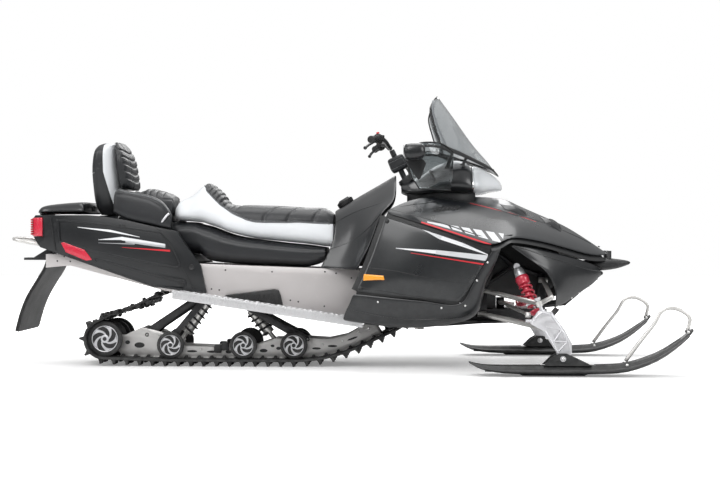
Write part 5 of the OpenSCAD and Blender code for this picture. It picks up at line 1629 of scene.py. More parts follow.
@dataclass
class FrontSuspension:
    """Wishbones, coil-over shocks, steering rods, spindles and skis."""

    shock_top: tuple = (858.0, -300.0, 500.0)
    shock_foot: tuple = (960.0, -426.0, 246.0)
    ski_y: float = 540.0

    def build(self) -> None:
        """Builds every piece."""
        copy_of("upper_arms", "upper_wishbones", TUBE)
        copy_of("lower_arms", "lower_wishbones", TUBE)
        copy_of("steering_linkage", "steering_rods", TUBE)
        self.shocks()
        for side in Side:
            self.corner(side)

    def shocks(self) -> None:
        """Red coil-over shocks."""
        first = True
        for side in Side:
            a, b = (np.array(on_side([p], side)[0]) for p in (self.shock_top, self.shock_foot))
            d = unit(b - a)
            length = float(np.linalg.norm(b - a))
            cap = turned("cap", [(10, 12), (14, 20), (30, 25), (52, 26.5), (60, 24), (62, 12)], a, d, CAST,
                28)
            eye = turned("eye", [(-15, 8), (-15, 15), (15, 15), (15, 8)], a, (0, 1, 0), CAST, 24)
            foot = turned("foot", [(-12, 6), (-12, 14), (12, 14), (12, 6)], b, (0, 1, 0), CAST, 24)
            rod = turned("rod", [(140, 6), (length - 46, 6), (length - 40, 10), (length - 12, 10),
                    (length - 8, 6)], a, d, CAST, 20)
            metal = joined(f"shock_metal_{side.name.lower()}", [cap, eye, foot, rod])
            collar = turned("collar", [(60, 14), (61, 31), (66, 33), (80, 33), (84, 31), (100, 30),
                    (104, 26), (106, 17), (190, 16), (192, 8)], a, d, SPRING, 30)
            seat = turned("seat", [(length - 56, 10), (length - 54, 32), (length - 48, 33),
                    (length - 44, 28), (length - 30, 14)], a, d, SPRING, 30)
            red = joined(f"shock_body_{side.name.lower()}", [collar, seat])
            if first:
                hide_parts("ski_shocks")
                first = False
            ride([metal, red], "chassis")
            coil(f"ski_spring_{side.name.lower()}", a + d * 100, a + d * (length - 56), 27.2, 5.2, 5.4,
                SPRING, "chassis")

    def corner(self, side: Side) -> None:
        """Spindle, ski, loop and fixings of one side."""
        label = side.name.lower()
        copy_of(f"spindle_{label}", f"spindle_casting_{label}", CAST, bevel=2.2)
        ribs = []
        y = 551.2 * side.value
        for line in (((912, 248), (948, 290), (992, 284)), ((1000, 284), (1050, 208), (1080, 150),
                (1082, 108)), ((968, 210), (1026, 114), (1040, 84)), ((975, 226), (1046, 214)),
            ((1000, 160), (1070, 158)), ((1046, 214), (1010, 160)), ((1070, 158), (1030, 112))):
            path = smooth_path([(x, y, z) for x, z in line], 10)
            ribs.append(tube("rib", path, 4.2, CAST, 8, 1.0))
        ride(joined(f"spindle_ribs_{label}", ribs), f"knuckle_{label}")
        body = f"ski_{label}"
        ski = copy_of(f"ski_{label}", f"ski_blade_{label}", SKI, bevel=1.6)
        ski.data.materials.append(STEEL.material())
        co = np.array([v.co[2] for v in ski.data.vertices])
        for poly in ski.data.polygons:
            if max(co[list(poly.vertices)]) < 0.0093:
                poly.material_index = 1
        copy_of(f"ski_loop_{label}", f"ski_handle_{label}", TUBE)
        keels = []
        rows = [(690, 46), (780, 44), (950, 45.5), (1048, 45.5), (1200, 47.5), (1340, 57.5), (1480, 103),
            (1590, 172), (1628, 204)]
        for dy in (-56, 56):
            path = smooth_path([(x, side.value * self.ski_y + dy * min(1.0, (1700 - x) / 260), z - 18)
                    for x, z in rows], 40)
            keels.append(tube("keel", path, 5, SKI, 8, 1.2))
        for dy in (-22, 22):
            path = smooth_path([(x, side.value * self.ski_y + dy * min(1.0, (1700 - x) / 260), z + 0.5)
                    for x, z in rows[1:3]], 12)
            keels.append(tube("keel", path, 4, SKI, 8, 1.0))
            path = smooth_path([(x, side.value * self.ski_y + dy * min(1.0, (1700 - x) / 260), z + 0.5)
                    for x, z in rows[4:8]], 30)
            keels.append(tube("keel", path, 4, SKI, 8, 1.0))
        ride(joined(f"ski_keels_{label}", keels), body)
        bolts = [((x, side.value * self.ski_y + dy, z), (0, math.copysign(1, dy), 0), (1, 0, 0))
            for x, z, out in ((1048, 82, 57), (1339, 54, 52), (1622, 204, 30)) for dy in (out, -out)]
        repeat(f"ski_bolts_{label}", Template.dome(9.5, 5.5, 12), bolts[:2], ZINC, body)
        repeat(f"loop_bolts_{label}", Template.dome(7.5, 4.5, 12), bolts[2:], ZINC, body)


# ---------------------------------------------------------------- body panels


@dataclass
class Bodywork:
    """Hood, side panels, pans, fairings, console and tail."""

    def build(self) -> None:
        """Builds every panel."""
        self.hood()
        self.side_panels()
        self.pans()
        self.console()
        self.tail()

    def hood(self) -> None:
        """Hood with louvres, intake scoops and creases."""
        copy_of("hood", "hood_shell", HOOD, levels=1, angle=60)
        dark, bright = [], []
        for side in Side:
            dark.append(surface_patch("louvre", HOOD_NET, ((302, 786), (388, 800), (478, 815), (400, 800)),
                    0.9, TRIM, side, nu=10, nv=4))
            dark.append(surface_patch("louvre", HOOD_NET, ((446, 762), (575, 778), (590, 790), (470, 786)),
                    0.9, TRIM, side, nu=10, nv=4))
            for k in range(9):
                x = 462 + 14 * k
                dark.append(surface_line("slat", HOOD_NET, ((x, 765 + 1.2 * k), (x + 14, 784 + 0.7 * k)),
                        3.2, TRIM, side, 1.6, 0.8, 6))
            for (x0, x1, z0, z1) in ((786, 925, 808, 764), (985, 1092, 742, 690)):
                bright.append(surface_patch("scoop", HOOD_NET,
                        ((x0, z0 - 2), (x1, z1 - 4), (x1 - 10, z1 - 24), (x0 + 24, z0 - 30)), 1.5, BODY,
                        side, 15, nu=18, nv=10))
                dark.append(surface_patch("mouth", HOOD_NET,
                        ((x0 + 40, z0 - 15), (x1 - 8, z1 - 5), (x1 - 12, z1 - 19), (x0 + 52, z0 - 27)), 9,
                        TRIM, side, 8, nu=12, nv=6))
            bright.append(surface_line("ridge", HOOD_NET, ((470, 834), (641, 806), (830, 757), (990, 714),
                    (1120, 664), (1240, 608)), 4.5, BODY, side, -0.6, 0.5, 40))
            bright.append(surface_line("crease", HOOD_NET, ((260, 772), (480, 712), (700, 640), (770, 640),
                    (830, 652)), 3.5, BODY, side, -0.6, 0.5, 40))
        ride([joined("hood_louvres", dark), joined("hood_scoops", bright)], "hood")
        screws = [((1285, s * 60, 592.5), (0.2, s * 0.5, 0.8), (1, 0, 0)) for s in (1, -1)]
        repeat("hood_screws", Template.dome(6, 2.5, 10), screws, TRIM, "hood")

    def side_panels(self) -> None:
        """Swing-out side panels with creases, reflectors and latches."""
        for side in Side:
            label = side.name.lower()
            body = f"panel_{label}"
            copy_of(f"side_panel_{label}", f"side_cover_{label}", PANEL, levels=1, angle=60)
            lines = [surface_line("groove", PANEL_NET, line, 1.7, TRIM, side, 0.1, 0.5, 30)
                for line in (((122, 506), (300, 476), (480, 440), (640, 416)),
                    ((108, 404), (300, 372), (520, 344)), ((520, 344), (575, 356), (600, 384), (640, 416)))]
            lines += [surface_line("lip", PANEL_NET, ((236, 735), (400, 682), (560, 628), (712, 576)), 3,
                    BODY, side, -0.5, 0.6, 30)]
            ride(joined(f"side_cover_grooves_{label}", lines), body)
            amber = surface_patch(f"amber_reflector_{label}", PANEL_NET,
                ((122, 468), (222, 458), (226, 438), (126, 434)), 3.0, AMBER, side, 0.6)
            ride(amber, body)
            spots = [surface_spot(PANEL_NET, u, v, 0.5, side) for u, v in ((0.06, 0.07), (0.05, 0.93))]
            repeat(f"panel_latches_{label}", Template.dome(11, 5, 16), spots, TRIM, body)

    def pans(self) -> None:
        """Belly pans, nose fairings and front bumper."""
        copy_of("belly_pans", "belly_shell", BODY, levels=1, angle=60)
        copy_of("nose_fairings", "nose_shells", BODY, levels=1, angle=60)
        copy_of("front_bumper", "nose_bumper", TRIM)
        beads = []
        for side in Side:
            beads.append(surface_line("bead", FAIRING_NET, ((830, 600), (1000, 548), (1160, 500),
                    (1280, 476)), 3.5, BODY, side, -0.4, 0.6, 30))
            beads.append(surface_line("bead", FAIRING_NET, ((985, 494), (1030, 430), (1045, 351),
                    (1040, 306)), 4, BODY, side, -0.4, 0.6, 24))
            beads.append(surface_line("bead", BELLY_NET, ((60, 300), (270, 258), (450, 250), (640, 282)), 3,
                    BODY, side, -0.4, 0.6, 30))
        ride(joined("pan_beads", beads), "chassis")
        spots = []
        for side in Side:
            for u in (0.12, 0.4, 0.52, 0.68, 0.84):
                spots.append(surface_spot(FAIRING_NET, u, 0.97, 0.2, side))
                spots.append(surface_spot(BELLY_NET, u, 0.16, 0.2, side))
        repeat("pan_screws", Template.dome(5, 2.2, 10), spots, ZINC, "chassis")
        outlet = turned("exhaust_outlet", [(-4, 20), (10, 20), (16, 22), (18, 25), (20, 22), (20, 17),
                (2, 16), (2, 2)], (392, -260, 214), (0, 0, -1), TUBE, 28)
        ride(outlet, "chassis")

    def console(self) -> None:
        """Console with knee creases and a ribbed fuel cap."""
        copy_of("console", "console_shell", BODY, levels=1, angle=60)
        lines = []
        for side in Side:
            lines.append(surface_line("crease", CONSOLE_NET,
                    ((-20, 718), (80, 768), (180, 800), (250, 824)), 4, BODY, side, -0.5, 0.6, 24))
            lines.append(surface_line("seam", CONSOLE_NET, ((-52, 580), (60, 620), (150, 690), (212, 750)),
                    2.2, TRIM, side, -0.1, 0.6, 24))
        ride(joined("console_creases", lines), "chassis")
        lean = math.atan2(68, 110)
        axis = np.array([-math.sin(lean), 0.0, math.cos(lean)])
        base = np.array([26.0, 0.0, 805.4])
        cap = turned("fuel_cap_body", [(0, 36), (0, 41), (3, 42), (20, 40), (24.5, 36), (26, 30),
                (25.4, 14), (25.4, 1)], base, axis, TRIM, 48)
        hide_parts("fuel_cap")
        ride(cap, "chassis")
        x = unit(np.cross((0, 1, 0), axis))
        rib = Template.prism([(-1.8, -1), (1.8, -1), (1.0, 2.2), (-1.0, 2.2)], -9, 9, 1)
        spots = []
        for k in range(26):
            a = 2 * math.pi * k / 26
            out = math.cos(a) * x + math.sin(a) * np.array([0, 1.0, 0])
            spots.append((base + axis * 12 + out * 40.2, out, np.cross(out, axis)))
        repeat("fuel_cap_ribs", rib, spots, TRIM, "chassis")
        grip = slab("fuel_cap_grip", [(-30, 0), (30, 0), (26, 7), (-26, 7)], -6, 6, TRIM, 2.5)
        grip.data.transform(Matrix.Translation(Vector(tuple((base + axis * 24.5) * MM))) @ Matrix.Rotation(
                -lean, 4, "Y"))
        ride(grip, "chassis")

    def tail(self) -> None:
        """Tail body with framed recess, sill, reflectors and lid."""
        copy_of("tail_body", "tail_shell", TAIL, bevel=3.5)
        copy_of("trunk_lid", "trunk_cover", BODY, levels=1, angle=50)
        beads, reflectors, seams = [], [], []
        for side in Side:
            y = side.value * 249.6

            def flat_line(line: Sequence, radius: float, finish: Finish = BODY, high: float = 0.6,
                y0: float = y) -> Obj:
                """A bead on the tail's side along x and z places."""
                path = [(p[0], y0, p[1]) for p in smooth_path(line, 8 * (len(line) - 1))]
                return tube("bead", path, radius, finish, 8, high, lambda i: np.array([0, 1.0, 0]))
            beads.append(flat_line([(-1372, 620), (-1378, 712), (-1372, 722), (-1200, 706), (-900, 666),
                    (-868, 656)], 5))
            beads.append(flat_line([(-868, 656), (-820, 600), (-782, 520), (-786, 500), (-830, 498),
                    (-1180, 566), (-1372, 620)], 5))
            beads.append(flat_line([(-1192, 520), (-1160, 528), (-860, 446), (-760, 424), (-752, 400)], 7))
            beads.append(flat_line([(-1330, 546), (-1064, 458), (-904, 404), (-760, 384)], 5))
            seams.append(flat_line([(-1416, 738), (-1404, 640), (-1392, 572)], 2.0, TRIM, 0.4))
            seams.append(flat_line([(-900, 690), (-850, 640), (-760, 480), (-700, 372)], 2.0, TRIM, 0.4))
            inner, outer = sorted((side.value * 248.5, side.value * 253.5))
            shape = [(-1364, 611), (-1352, 616), (-1248, 578), (-1218, 540), (-1211, 528), (-1238, 524),
                (-1340, 566)]
            reflectors.append(slab("reflector", shape, inner, outer, REFLEX, 2.0))
            seams.append(turned("socket", [(-1, 14), (3, 14), (4, 11), (2, 9), (0.5, 1)],
                    (-722, side.value * 238, 492), (0, side.value, 0), TRIM, 20))
            seams += [turned("screw", [(-1, 7), (2, 7), (3.4, 4), (3.4, 1)], (x, side.value * 249.5, z),
                    (0, side.value, 0), TRIM, 14) for x, z in ((-1072, 698), (-1050, 696))]
        ride([joined("tail_beads", beads), joined("tail_seams", seams),
                joined("tail_reflectors", reflectors)], "chassis")
        latch = slab("lid_latch", [(-1268, 770), (-1254, 772), (-1252, 792), (-1256, 800), (-1268, 800)],
            -34, 34, TRIM, 2)
        ride(latch, "trunk_lid")


@dataclass
class SeamShadeLiners:
    """Dark sheets behind the seams and openings, put there as painted shade: they stand in for the shaded
    inside seen through them.
    """

    width: float = 27.0
    depth: float = 15.0

    def build(self) -> None:
        """Builds the dark shade sheets of both sides."""
        for side in Side:
            # painted shade: dark strips behind the panel and hood edges stand in for the shade seen through
            # the seams
            strips = [self.strip(PANEL_NET, [(0.0, k / 30) for k in range(31)], side),
                self.strip(PANEL_NET, [(k / 40, 0.0) for k in range(41)], side),
                self.strip(PANEL_NET, [(k / 40, 1.0) for k in range(41)], side),
                self.strip(PANEL_NET, [(1.0, k / 30) for k in range(31)], side),
                self.strip(HOOD_NET, [(0.3 + 0.68 * k / 40, 1.0) for k in range(41)], side)]
            # painted shade: a flat dark plate inside the side opening stands in for the shaded inside of the
            # nose
            inner = slab("inner", [(690, 288), (700, 500), (770, 600), (860, 664), (985, 640), (1085, 560),
                    (1090, 450), (1020, 350), (772, 350), (772, 288)], side.value * 100 - 3,
                side.value * 100 + 3, TRIM, 1.0)
            foot = [[(q[0], q[1] + side.value * 116, q[2]) for q in rounded_ring(x, low, high, a, b, 24, 4)]
                for x, low, high, a, b in ((332, 806, 872, 44, 52), (400, 806, 872, 60, 60),
                    (560, 806, 868, 58, 58), (668, 800, 866, 40, 40))]
            # the joined dark sheets are painted shade behind the seams
            shade_sheets = joined(f"seam_flanges_{side.name.lower()}", strips + [inner])
            ride(shade_sheets, "chassis")
            ride(loft(f"pod_foot_{side.name.lower()}", foot, TRIM), "hood")

    def strip(self, net: Net, line: Sequence, side: Side) -> Obj:
        """A flat dark sheet behind the edge of a net, as painted shade in the seam."""
        points = on_side([tuple(net.lifted(u, v, -self.depth)) for u, v in line], side)
        faces = on_side([tuple(net.normal(u, v)) for u, v in line], side)
        return tube("strip", points, self.width, TRIM, 8, 0.1, lambda i: np.array(faces[i]))


# ---------------------------------------------------------------- seats


class Skin:
    """Finds the nearest point and normal on a finished piece."""

    def __init__(self, obj: Obj) -> None:
        """Builds the search tree of a piece."""
        self.tree = BVHTree.FromPolygons([tuple(v.co) for v in obj.data.vertices],
            [tuple(p.vertices) for p in obj.data.polygons])

    def near(self, point: Point, lift: float = 0.0) -> tuple[tuple, tuple]:
        """The surface point nearest to one in millimetres, lifted, and its normal."""
        spot, normal, _, _ = self.tree.find_nearest(Vector(tuple(float(c) for c in point)) * MM)
        spot = spot / MM + normal * lift
        return tuple(spot), tuple(normal)


@dataclass
class Cushion:
    """A crowned, sewn cushion through rings of rows, pulled in along its seams."""

    name: str
    rings: list
    finish: Finish
    seams: Callable[[np.ndarray], np.ndarray]
    panel: "Callable[[np.ndarray], np.ndarray] | None" = None
    fill: float = 0.8

    def build(self) -> Obj:
        obj = loft(self.name, self.rings, self.finish)
        mesh = obj.data
        n = len(mesh.vertices)
        co = np.empty(n * 3, np.float32)
        mesh.vertices.foreach_get("co", co)
        normals = np.empty(n * 3, np.float32)
        mesh.vertex_normals.foreach_get("vector", normals)
        co, normals = co.reshape(-1, 3).astype(float), normals.reshape(-1, 3).astype(float)
        mm = co / MM
        wrinkle = 0.5 * np.sin(mm[:, 0] * 0.045 + mm[:, 2] * 0.06) * np.sin(mm[:, 2] * 0.11 - mm[:, 0] * 0.02)
        moved = co - normals * ((self.seams(mm) + 0.35 * (1 + wrinkle)) * MM)[:, None]
        if self.panel:
            values = mesh.attributes.new("panel", "FLOAT", "POINT")
            values.data.foreach_set("value", (self.panel(mm) * MM).astype(np.float32))
        mesh.vertices.foreach_set("co", moved.astype(np.float32).ravel())
        mesh.update()
        mesh.shade_smooth()
        return obj


def groove(distance: np.ndarray, width: float, depth: float) -> np.ndarray:
    """Depth of a sewn channel at a distance from its seam."""
    return depth * np.exp(-(distance / width) ** 2)


def stitch_row(name: str, skin: Skin, line: Sequence, finish: Finish, body: str, pitch: float = 7.0,
    size: float = 1.0) -> Obj:
    """Stitches along a line on a cushion."""
    p = np.array([list(q) for q in line], float)
    reach = np.concatenate([[0], np.cumsum(np.linalg.norm(np.diff(p, axis=0), axis=1))])
    spots = []
    for s in np.arange(pitch, reach[-1], pitch):
        q = np.array([np.interp(s, reach, p[:, k]) for k in range(3)])
        e = np.array([np.interp(min(s + 2, reach[-1]), reach, p[:, k]) for k in range(3)])
        spot, normal = skin.near(q, 0.1)
        spots.append((spot, normal, e - q + np.array([1e-4, 0, 0])))
    thread = Template.prism([(-2.2 * size, -0.5), (2.2 * size, -0.5), (1.7 * size, 0.55),
            (-1.7 * size, 0.55)], -0.6, 0.6)
    return repeat(name, thread, spots, finish, body)


@dataclass
class Seats:
    """Rider's seat, skirt, passenger seat, side wings and backrest."""

    rider_rows: tuple = (
        (-822, 726, 790, 120, 130), (-800, 722, 822, 168, 140), (-745, 718, 852, 178, 130),
        (-690, 712, 900, 184, 120), (-655, 700, 908, 188, 116), (-600, 682, 866, 190, 130),
        (-550, 662, 806, 190, 150), (-430, 634, 800, 190, 152), (-290, 618, 796, 190, 150),
        (-170, 606, 788, 188, 140), (-80, 594, 784, 184, 126), (-34, 590, 755, 178, 118))
    skirt_rows: tuple = (
        (-1218, 594, 750, 150, 140), (-1120, 586, 749, 152, 140), (-1100, 584, 716, 152, 148),
        (-960, 574, 716, 152, 150), (-850, 566, 716, 152, 160), (-806, 562, 718, 158, 176),
        (-730, 556, 716, 168, 182), (-700, 553, 706, 174, 184), (-650, 520, 694, 182, 188),
        (-515, 505, 648, 184, 190), (-300, 497, 617, 184, 190), (-160, 492.5, 603, 182, 188),
        (-70, 520, 590, 174, 182))
    passenger_rows: tuple = ((-1012, 716.3, 866, 150, 140), (-960, 716.3, 884, 156, 146),
        (-880, 716.3, 866, 156, 142), (-840, 719, 846, 150, 130))
    wing_rows: tuple = ((-1112, 760, 800, 20, 14), (-1096, 752, 876, 32, 20), (-1040, 723.4, 868, 40, 26),
        (-930, 698, 844, 42, 28), (-866, 684, 810, 40, 28), (-826, 679, 752, 30, 22))
    shell_rows: tuple = (
        (751.3, -1126, -1212, 100), (800, -1110, -1236, 126), (880, -1110, -1246, 150),
        (980, -1120, -1250, 168),
        (1060, -1130, -1240, 168), (1096, -1138, -1220, 140), (1112, -1145, -1190, 90))
    pad_rows: tuple = ((878, -1045.2, -1109.2, 120), (900, -1039.2, -1109.2, 146),
        (960, -1049.2, -1117.2, 160), (1030, -1063.2, -1125.2, 160), (1090, -1091.2, -1135.2, 132),
        (1116, -1113.2, -1139.2, 84))
    edge: tuple = ((-760, 940), (-683, 906), (-668, 873), (-600, 806), (-531, 756), (-431, 714),
        (-300, 712), (-194, 714), (-12, 704))
    chevrons: tuple = ((-374, -238), (-257, -164), (-139, -58))

    def build(self) -> None:
        """Builds every seat piece."""
        self.rider()
        self.skirt()
        self.passenger()
        self.wings()
        self.backrest()

    @staticmethod
    def rings(rows: Sequence, steps: int, count: int, squareness: float = 3.2, dy: float = 0.0) -> list:
        """Rings through rows of x, bottom, top and half widths."""
        out = []
        for row in smooth_path(rows, steps):
            out.append([(p[0], p[1] + dy, p[2]) for p in rounded_ring(*row, count, squareness)])
        return out

    @staticmethod
    def level_rings(rows: Sequence, steps: int, count: int) -> list:
        """Level rings through rows of z, front x, rear x and half width."""
        out = []
        for z, front, back, half in smooth_path(rows, steps):
            ring = []
            for i in range(count):
                a = 2 * math.pi * (i + 0.5) / count
                h = math.copysign(abs(math.sin(a)) ** (2 / 3), math.sin(a))
                w = math.copysign(abs(math.cos(a)) ** (2 / 3), math.cos(a))
                ring.append(((front + back) / 2 + w * (front - back) / 2, h * half, z))
            out.append(ring)
        return out

    def edge_z(self, x: np.ndarray) -> np.ndarray:
        """Height of the white side's upper edge at x."""
        return np.interp(x, [p[0] for p in self.edge], [p[1] for p in self.edge])

    def rider_panel(self, p: np.ndarray) -> np.ndarray:
        """How far a point is inside the black top panel, in millimetres."""
        return np.minimum(p[:, 2] - self.edge_z(p[:, 0]), p[:, 0] + 684)

    def rider_seams(self, p: np.ndarray) -> np.ndarray:
        """How far the rider's seat is pulled in at points."""
        x, y, z = p[:, 0], np.abs(p[:, 1]), p[:, 2]
        panel = self.rider_panel(p)
        inside = np.clip(panel / 6, 0, 1)
        depth = groove(panel, 4.0, 3.2)
        for outer, middle in self.chevrons:
            line = outer + (middle - outer) * np.clip(1 - y / 165, 0, 1) ** 0.85
            depth += inside * groove((x - line) * 0.8, 6.0, 5.5)
        slope = (x + 683) * 0.79 + (905 - z) * 0.61
        for k in range(1, 9):
            depth += inside * (x < -470) * groove(slope - 26 * k, 5.0, 4.5)
        depth += inside * (x < -480) * groove(y - 62, 6.0, 3.0)
        depth -= inside * np.clip(panel / 40, 0, 1) * 1.2
        return depth

    def rider(self) -> None:
        """The rider's seat with piping and stitching."""
        rings = self.rings(self.rider_rows, 190, 132)
        seat = Cushion("rider_cushion", rings, SEAT, self.rider_seams, self.rider_panel, 0.85).build()
        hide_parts("rider_seat")
        ride(seat, "chassis")
        skin = Skin(seat)
        right = []
        for ring in rings[::3]:
            x = ring[0][0]
            if not -682 <= x <= -44:
                continue
            goal = float(self.edge_z(np.array([x]))[0])
            side = sorted((q for q in ring if q[1] < 0), key=lambda q: q[2])
            above = next((q for q in side if q[2] > goal), side[-1])
            right.append((x, above[1], goal))
        right = right[::-1]
        rear = min(rings, key=lambda r: abs(r[0][0] + 684))
        arc = sorted((q for q in rear if q[2] > right[-1][2] - 2), key=lambda q: q[1])[::4]
        line = right + [(q[0], q[1], q[2]) for q in arc] + [(q[0], -q[1], q[2]) for q in right[::-1]]
        line = [skin.near(q, 0.3)[0] for q in line]
        line = [np.mean([line[max(i - 1, 0)], line[i], line[min(i + 1, len(line) - 1)]], axis=0)
            for i in range(len(line))]
        ride(tube("rider_piping", line, 3.2, PIPING, 8), "chassis")
        inner = [np.array([q[0] + (5 if q[0] < -600 else 0), q[1] * 0.955, q[2] + 6]) for q in line]
        stitch_row("rider_stitches", skin, inner, THREAD, "chassis")
        lines = []
        for outer, middle in self.chevrons:
            for s in (-5.5, 5.5):
                path = []
                for y in np.linspace(-158, 158, 41):
                    x = outer + (middle - outer) * max(0.0, 1 - abs(y) / 165) ** 0.85 + s
                    path.append(skin.near((x, y, 800), 0.0)[0])
                lines.append(path)
        for k, path in enumerate(lines):
            stitch_row(f"chevron_stitches_{k}", skin, path, THREAD, "chassis", 8.0)

    def skirt(self) -> None:
        """The black skirt below the seat."""
        def seams(p: np.ndarray) -> np.ndarray:
            """Seam line low on the skirt."""
            line = np.interp(p[:, 0], [-1200, -800, -640, -500, -100], [640, 640, 596, 560, 536])
            return groove(p[:, 2] - line, 4.0, 2.4) + 0.6
        obj = Cushion("seat_skirt", self.rings(self.skirt_rows, 120, 72), VINYL, seams, None, 0.95).build()
        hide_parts("seat_base")
        ride(obj, "chassis")

    def passenger(self) -> None:
        """The passenger's pleated cushion."""
        def seams(p: np.ndarray) -> np.ndarray:
            """Cross pleats on the top and a seam round it."""
            top = np.clip((p[:, 2] - 838) / 10, 0, 1)
            d = groove(p[:, 2] - 828, 4.0, 3.0)
            for x in (-985, -952, -919, -886):
                d += top * groove(p[:, 0] - x, 5.0, 5.0)
            return d + top * groove(np.abs(p[:, 1]) - 70, 5.0, 3.0)
        obj = Cushion("passenger_cushion", self.rings(self.passenger_rows, 60, 96), VINYL, seams, None,
            0.8).build()
        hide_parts("passenger_seat")
        ride(obj, "chassis")
        skin = Skin(obj)
        for k, x in enumerate((-985, -952, -919, -886)):
            path = [skin.near((x + 5, y, 900))[0] for y in np.linspace(-125, 125, 30)]
            stitch_row(f"passenger_stitches_{k}", skin, path, THREAD, "chassis", 8.0)

    def wings(self) -> None:
        """Padded side wings with piped edges and grab brackets."""
        pieces, pipes, brackets = [], [], []
        for side in Side:
            rings = self.rings(self.wing_rows, 60, 64, 3.2, side.value * 208)

            def seams(p: np.ndarray) -> np.ndarray:
                """A seam along the upper edges."""
                return groove(p[:, 2] - np.interp(p[:, 0], [-1112, -1096, -1040, -930, -866, -826],
                        [780, 850, 846, 820, 784, 730]), 4.0, 2.2)
            obj = Cushion(f"passenger_wing_{side.name.lower()}", rings, VINYL, seams, None, 0.9).build()
            if not pieces:
                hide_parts("armrests")
            pieces.append(obj)
            skin = Skin(obj)
            for k in (10, 22):
                path = [skin.near(ring[k], 0.2)[0] for ring in rings[4:-3:2]]
                pipes.append(tube("piping", path, 2.6, PIPING, 8))
            y = side.value * 232
            brackets.append(tube("bracket", smooth_path([(-878, y, 706), (-862, y + side.value * 10, 722),
                    (-846, y + side.value * 12, 742), (-836, y, 754)], 14), 6, CAST, 10))
        ride(pieces, "chassis")
        ride([joined("wing_piping", pipes), joined("wing_grab_brackets", brackets)], "chassis")

    def backrest(self) -> None:
        """Backrest shell and its pleated pad."""
        shell = Cushion("backrest_body", self.level_rings(self.shell_rows, 90, 72), BACK,
            lambda p: groove(p[:, 0] - np.interp(p[:, 2], [740, 960, 1120], [-1120, -1176, -1178]), 4.0,
                2.4), None, 0.95).build()
        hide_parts("backrest_shell")

        def seams(p: np.ndarray) -> np.ndarray:
            """Pleats on the front face and a seam round the rim."""
            front = np.interp(p[:, 2], [r[0] for r in self.pad_rows], [r[1] for r in self.pad_rows])
            face = np.clip((p[:, 0] - front + 26) / 10, 0, 1)
            d = groove(p[:, 0] - front + 30, 4.0, 2.6)
            for z in (916, 952, 988, 1024, 1060):
                d += face * groove(p[:, 2] - z - np.abs(p[:, 1]) * 0.12, 5.0, 5.0)
            return d + face * groove(np.abs(p[:, 1]) - 74, 5.0, 4.0)
        rings = self.level_rings(self.pad_rows, 100, 112)
        pad = Cushion("backrest_cushion", rings, VINYL, seams, None, 0.8).build()
        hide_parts("backrest_pad")
        ride([shell, pad], "chassis")
        skin = Skin(pad)
        for s, label in ((1, "left"), (-1, "right")):
            path = [skin.near((-1000, s * 80, z))[0] for z in np.linspace(904, 1086, 30)]
            stitch_row(f"backrest_stitches_{label}", skin, path, THREAD, "chassis", 8.0)


# ---------------------------------------------------------------- cockpit


